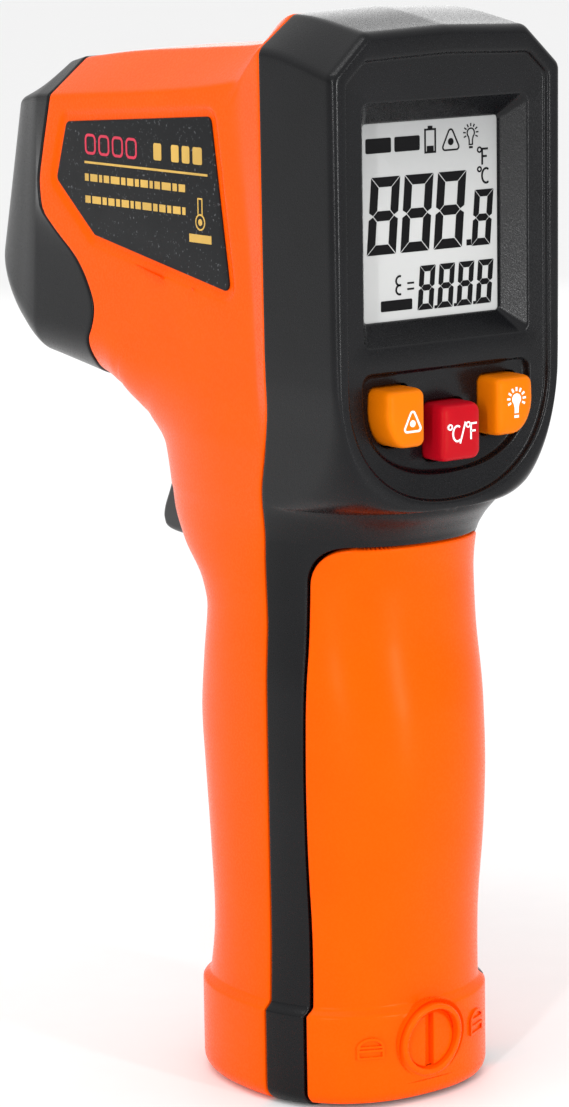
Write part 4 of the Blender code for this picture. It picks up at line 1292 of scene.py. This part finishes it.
def moulded(name, colour, rough, mottle=0.05, grain=2600.0, depth=0.004, metallic=0.0, coat=0.0, specular=0.5,
            gleam=WHITE):
    """Moulded or plated stuff: broad faint mottling, a fine grain in the gloss and in the surface."""
    material, tree, place = blank(name)
    broad = noise(tree, place, 130.0, 2.0)
    fine = noise(tree, place, grain)
    dark = tuple(c * (1 - mottle) for c in colour)
    light = tuple(min(c * (1 + mottle), 1.0) for c in colour)
    return shaded(material, {
        "Base Color": tinted(tree, broad, dark, light),
        "Roughness": spread(tree, fine, rough - 0.05, rough + 0.05),
        "Metallic": metallic,
        "Coat Weight": coat,
        "Coat Roughness": 0.12,
        "Specular IOR Level": specular,
        "Specular Tint": (*gleam, 1.0),
        "Normal": relief(tree, fine, 0.5, depth),
    })


def spark_textured(name, colour, rough):
    """Dark plastic with a fine spark-eroded grain that glitters where light grazes it."""
    material, tree, place = blank(name)
    cells = fed(tree.nodes.new("ShaderNodeTexVoronoi"), {"Scale": 3600.0, "Vector": place})
    fine = noise(tree, place, 5200.0, 2.0)
    broad = noise(tree, place, 90.0, 2.0)
    dark = tuple(c * 0.82 for c in colour)
    light = tuple(c * 1.22 for c in colour)
    return shaded(material, {
        "Base Color": tinted(tree, broad, dark, light),
        "Roughness": spread(tree, fine, rough - 0.1, rough + 0.08),
        "Specular IOR Level": 0.22,
        "Normal": relief(tree, cells.outputs["Distance"], 0.55, 0.012),
    })


def speckled_film(name, colour):
    """The label's charcoal film with sparse pale specks."""
    material, tree, place = blank(name)
    specks = noise(tree, place, 2300.0, 1.0)
    broad = noise(tree, place, 200.0, 2.0)
    pale = tuple(c * 9.0 for c in colour)
    return shaded(material, {
        "Base Color": tinted(tree, specks, colour, pale, 0.66, 0.8),
        "Roughness": spread(tree, broad, 0.36, 0.46),
        "Specular IOR Level": 0.1,
        "Normal": relief(tree, specks, 0.3, 0.006),
    })


def display_film(name):
    """The display's pale reflective ground, a little darker towards its top where the well shades it."""
    material, tree, place = blank(name)
    height = spread(tree, height_of(tree, place), 0.0, 1.0, WINDOW_LOW * MM, WINDOW_HIGH * MM)
    grain = noise(tree, place, 1800.0, 2.0)
    mixed = tree.nodes.new("ShaderNodeMath")
    mixed.operation = "MULTIPLY_ADD"
    mixed = fed(mixed, {0: grain, 1: 0.06, 2: height}).outputs["Value"]
    return shaded(material, {
        "Base Color": tinted(tree, mixed, (0.47, 0.475, 0.47), (0.33, 0.335, 0.335), 0.5, 1.05),
        "Roughness": spread(tree, grain, 0.3, 0.4),
        "Coat Weight": 0.35,
        "Coat Roughness": 0.08,
    })


def clear_plastic(name):
    material, tree, place = blank(name)
    fine = noise(tree, place, 900.0)
    return shaded(material, {
        "Base Color": tinted(tree, fine, (0.25, 0.05, 0.05), (0.32, 0.07, 0.07)),
        "Roughness": spread(tree, fine, 0.04, 0.08),
        "Coat Weight": 0.5,
    })


def banded_wrap(name):
    """A battery cell's printed wrap: dark body with a copper-coloured band at one end."""
    material, tree, place = blank(name)
    dark, band = (0.02, 0.022, 0.026), (0.55, 0.25, 0.07)
    fine = noise(tree, place, 700.0)
    return shaded(material, {
        "Base Color": tinted(tree, height_of(tree, place), dark, band, 0.0495, 0.0497),
        "Roughness": spread(tree, fine, 0.22, 0.3),
    })


def board_mask(name):
    """Green solder mask with paler tracks."""
    material, tree, place = blank(name)
    wave = {"Scale": 160.0, "Distortion": 6.0, "Vector": place}
    tracks = fed(tree.nodes.new("ShaderNodeTexWave"), wave).outputs["Fac"]
    return shaded(material, {
        "Base Color": tinted(tree, tracks, (0.008, 0.09, 0.03), (0.02, 0.2, 0.07), 0.7, 0.8),
        "Roughness": spread(tree, tracks, 0.3, 0.4),
    })


def gleaming(name, colour, rough, mottle, depth, specular):
    """Coloured plastic or rubber whose gloss is tinted warm."""
    return moulded(name, colour, rough, mottle=mottle, depth=depth, specular=specular, gleam=WARM)


def make_materials():
    """The look of each slot, and the inks of the printed marks."""
    return {
        "orange_shell": gleaming("orange_abs", (0.98, 0.095, 0.0008), 0.27, 0.025, 0.0015, 0.12),
        "dark_shell": spark_textured("dark_spark_abs", (0.003, 0.0032, 0.004), 0.27),
        "black_plastic": moulded("black_plastic", (0.012, 0.012, 0.013), 0.36, mottle=0.15),
        "natural_plastic": moulded("natural_plastic", (0.75, 0.74, 0.7), 0.5),
        "key_amber": gleaming("amber_rubber", (0.7, 0.16, 0.0008), 0.36, 0.04, 0.002, 0.14),
        "key_red": gleaming("red_rubber", (0.42, 0.0025, 0.011), 0.34, 0.05, 0.002, 0.14),
        "label": speckled_film("label_film", (0.014, 0.0145, 0.0155)),
        "window_clear": clear_plastic("tinted_window"),
        "display": display_film("display_ground"),
        "rubber": moulded("black_rubber", (0.02, 0.02, 0.02), 0.75, mottle=0.1),
        "board_green": board_mask("solder_mask"),
        "steel": moulded("plated_steel", (0.62, 0.62, 0.63), 0.3, metallic=1.0),
        "brass": moulded("brass", (0.75, 0.5, 0.18), 0.3, metallic=1.0),
        "lens": moulded("infrared_lens", (0.2, 0.19, 0.2), 0.15, mottle=0.1, depth=0.0005, coat=0.6),
        "cell_wrap": banded_wrap("cell_wrap"),
        "gold_print": moulded("gold_ink", (0.62, 0.38, 0.07), 0.4, mottle=0.12, grain=3500.0),
        "red_print": moulded("red_ink", (0.62, 0.02, 0.06), 0.42, mottle=0.12, grain=3500.0),
        "white_print": moulded("white_ink", (0.85, 0.85, 0.84), 0.4, mottle=0.03),
        "segment_ink": moulded("segment_ink", (0.002, 0.002, 0.0025), 0.4, mottle=0.2, specular=0.1),
    }


# ---------------------------------------------------------------- assembly

LABEL_TURN = 41.5
PRINT_LOW, PRINT_HIGH = 18.9, 18.95
OUTER_KEY_CENTRE = (9.8, 103.6)
KEY_MARKS_LOW, KEY_MARKS_HIGH = -29.3, -29.52
FLOOR_HALF = 10.0
FLOOR_DROP = 0.0001
LIT_PLACE = (0.0, 0.0, 0.085)
LIGHTS = (
    ("front_strip", (0.1, -0.65, 0.17), (0.04, 0.3), 1.5),
    ("left_strip", (-0.62, -0.42, 0.25), (0.025, 0.35), 1.9),
    ("rim_box", (0.55, 0.75, 0.32), (0.3, 0.3), 0.5),
    ("top_strip", (-0.25, -0.1, 0.75), (0.5, 0.1), 0.8),
)
HORIZON, OVERHEAD = (0.5, 0.5, 0.5), (0.95, 0.95, 0.95)
SKY_STRENGTH = 1.08
CAMERA_TURN, CAMERA_DIP, CAMERA_ROLL = -36.485, 10.775, -0.868
CAMERA_PLACE = (-0.3438, -0.4516, 0.1871)


def add_shells(look):
    """Both housing halves, the frame, the nose, the battery cover and the foot's disc."""
    disc = stack(slab_loops(circle((0, 0), 8.8, 64), raised, 0.0, 2.0, 0.4))
    shells = (
        (front_housing(True), "housing_shell_left", "orange_shell", "housing", ["front_housing_left"]),
        (front_housing(False), "housing_shell_right", "orange_shell", "housing", ["front_housing_right"]),
        (rear_frame(), "hood_and_frame", "dark_shell", "housing", ["rear_frame"]),
        (nose_cap(), "nose_shell", "dark_shell", "housing", ["nose_cap"]),
        (battery_cover(), "cover_shell", "orange_shell", "cover", ["battery_cover"]),
        (disc, "foot_disc", "dark_shell", "housing", []),
    )
    for shape, name, slot, body, nodes in shells:
        piece(shape, name, look[slot], body, slot, nodes)


def add_labels(look):
    """A plate on each side, with its gold and red print."""
    gold, red = label_marks()
    for name, sign in (("left", -1), ("right", 1)):
        plate = "label_" + name
        piece(label_plate(sign), plate + "_plate", look["label"], "housing", "label", [plate])

        def laid(outline, x, sign=sign):
            turned = outline if sign < 0 else [(LABEL_TURN - y, z) for y, z in outline]
            return [(sign * x, y, z) for y, z in turned]

        for outlines, ink in ((gold, "gold"), (red, "red")):
            print_shape = prints(outlines, laid, PRINT_LOW, PRINT_HIGH)
            piece(print_shape, plate + "_" + ink, look[ink + "_print"], "housing", "label")


def add_display(look):
    panel = stack(slab_loops(window_outline(0.4), facing_user, -21.6, DISPLAY_FACE, 0.05))
    piece(panel, "display_panel", look["display"], "housing", "display", ["display_glass", "display_window"])
    marks = prints(display_marks(), facing_user, DISPLAY_FACE + 0.02, DISPLAY_FACE - 0.04)
    piece(marks, "display_figures", look["segment_ink"], "housing", "display")


def add_keys(look):
    unit = unit_mark(-2.6, 99.4, 2.5, 0.27, "C") + stroke([(-0.5, 99.1), (0.5, 102.1)], 0.27)
    unit += unit_mark(0.65, 99.5, 2.5, 0.27, "F")
    beam, lamp = beam_mark((-9.0, 103.2), 3.3, 0.3), bulb_mark((9.9, 103.8), 4.8, 0.3)
    x, z = OUTER_KEY_CENTRE
    keys = (
        ("laser_key", "key_amber", key_outline(-1), (-x, z), beam),
        ("unit_key", "key_red", key_outline(0), (0.0, 100.8), unit),
        ("light_key", "key_amber", key_outline(1), (x, z), lamp),
    )
    for name, slot, outline, middle, marks in keys:
        piece(key_cap(outline, middle), name + "_cap", look[slot], name, slot, [name])
        mark_shape = prints(marks, facing_user, KEY_MARKS_LOW, KEY_MARKS_HIGH)
        piece(mark_shape, name + "_mark", look["white_print"], name, slot)


def add_trigger_and_lock(look):
    piece(trigger_blade(), "trigger_blade", look["black_plastic"], "trigger", "dark_shell", ["trigger"])
    piece(knob(), "knob_face", look["orange_shell"], "lock", "orange_shell", ["lock_knob"], sharp=30)
    marks = prints(lock_marks(), on_band, -0.1, 0.4)
    piece(marks, "cover_marks", look["orange_shell"], "cover", "orange_shell")


def dress_frame(look):
    """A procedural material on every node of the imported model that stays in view."""
    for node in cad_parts.values():
        for slot in node.material_slots:
            slot.material = look[slot.material.name.split(".")[0]]


def area_light(name, place, size, power):
    """A rectangular light that faces the middle of the object; place and size are in metres."""
    data = bpy.data.lights.new(name, "AREA")
    data.shape = "RECTANGLE"
    data.size, data.size_y = size
    data.energy = power
    light = bpy.data.objects.new(name, data)
    light.location = place
    way = Vector(LIT_PLACE) - Vector(place)
    light.rotation_euler = way.to_track_quat("-Z", "Y").to_euler()
    bpy.context.scene.collection.objects.link(light)


def add_sky():
    """Soft surroundings: dimmer level with the object and brighter overhead."""
    world = bpy.data.worlds.new("studio")
    world.use_nodes = True
    tree = world.node_tree
    place = tree.nodes.new("ShaderNodeTexCoord").outputs["Generated"]
    sky = tinted(tree, height_of(tree, place), HORIZON, OVERHEAD, 0.0, 0.6)
    fed(tree.nodes["Background"], {"Color": sky, "Strength": SKY_STRENGTH})
    bpy.context.scene.world = world


def studio():
    """A wide pale floor, the soft surroundings and four gentle lights."""
    shape = bmesh.new()
    under = Matrix.Translation((0, 0, -FLOOR_DROP))
    bmesh.ops.create_grid(shape, x_segments=2, y_segments=2, size=FLOOR_HALF, matrix=under)
    mesh = bpy.data.meshes.new("floor")
    shape.to_mesh(mesh)
    shape.free()
    floor = bpy.data.objects.new("floor", mesh)
    bpy.context.scene.collection.objects.link(floor)
    paper = moulded("floor_paper", (0.93, 0.93, 0.93), 0.8, mottle=0.005, grain=300.0, depth=0.0)
    mesh.materials.append(paper)
    add_sky()
    for light in LIGHTS:
        area_light(*light)


def camera():
    """About 36 degrees round from the user's side and 11 degrees down."""
    turn, dip, roll = (math.radians(angle) for angle in (CAMERA_TURN, CAMERA_DIP, CAMERA_ROLL))
    back_way = Vector((math.sin(turn) * math.cos(dip), -math.cos(turn) * math.cos(dip), math.sin(dip)))
    right = Vector((math.cos(turn), math.sin(turn), 0.0))
    up = back_way.cross(right)
    across = right * math.cos(roll) + up * math.sin(roll)
    upward = up * math.cos(roll) - right * math.sin(roll)
    data = bpy.data.cameras.new("view")
    data.sensor_width = 36.0
    data.lens = 126.8
    data.clip_start = 0.01
    data.clip_end = 20.0
    obj = bpy.data.objects.new("view", data)
    turned = Matrix((across, upward, back_way)).transposed().to_4x4()
    obj.matrix_world = Matrix.Translation(CAMERA_PLACE) @ turned
    bpy.context.scene.collection.objects.link(obj)
    bpy.context.scene.camera = obj


def build():
    camera()
    studio()
    look = make_materials()
    dress_frame(look)
    add_shells(look)
    add_labels(look)
    add_display(look)
    add_keys(look)
    add_trigger_and_lock(look)
    bpy.context.scene.view_settings.view_transform = "Standard"


build()
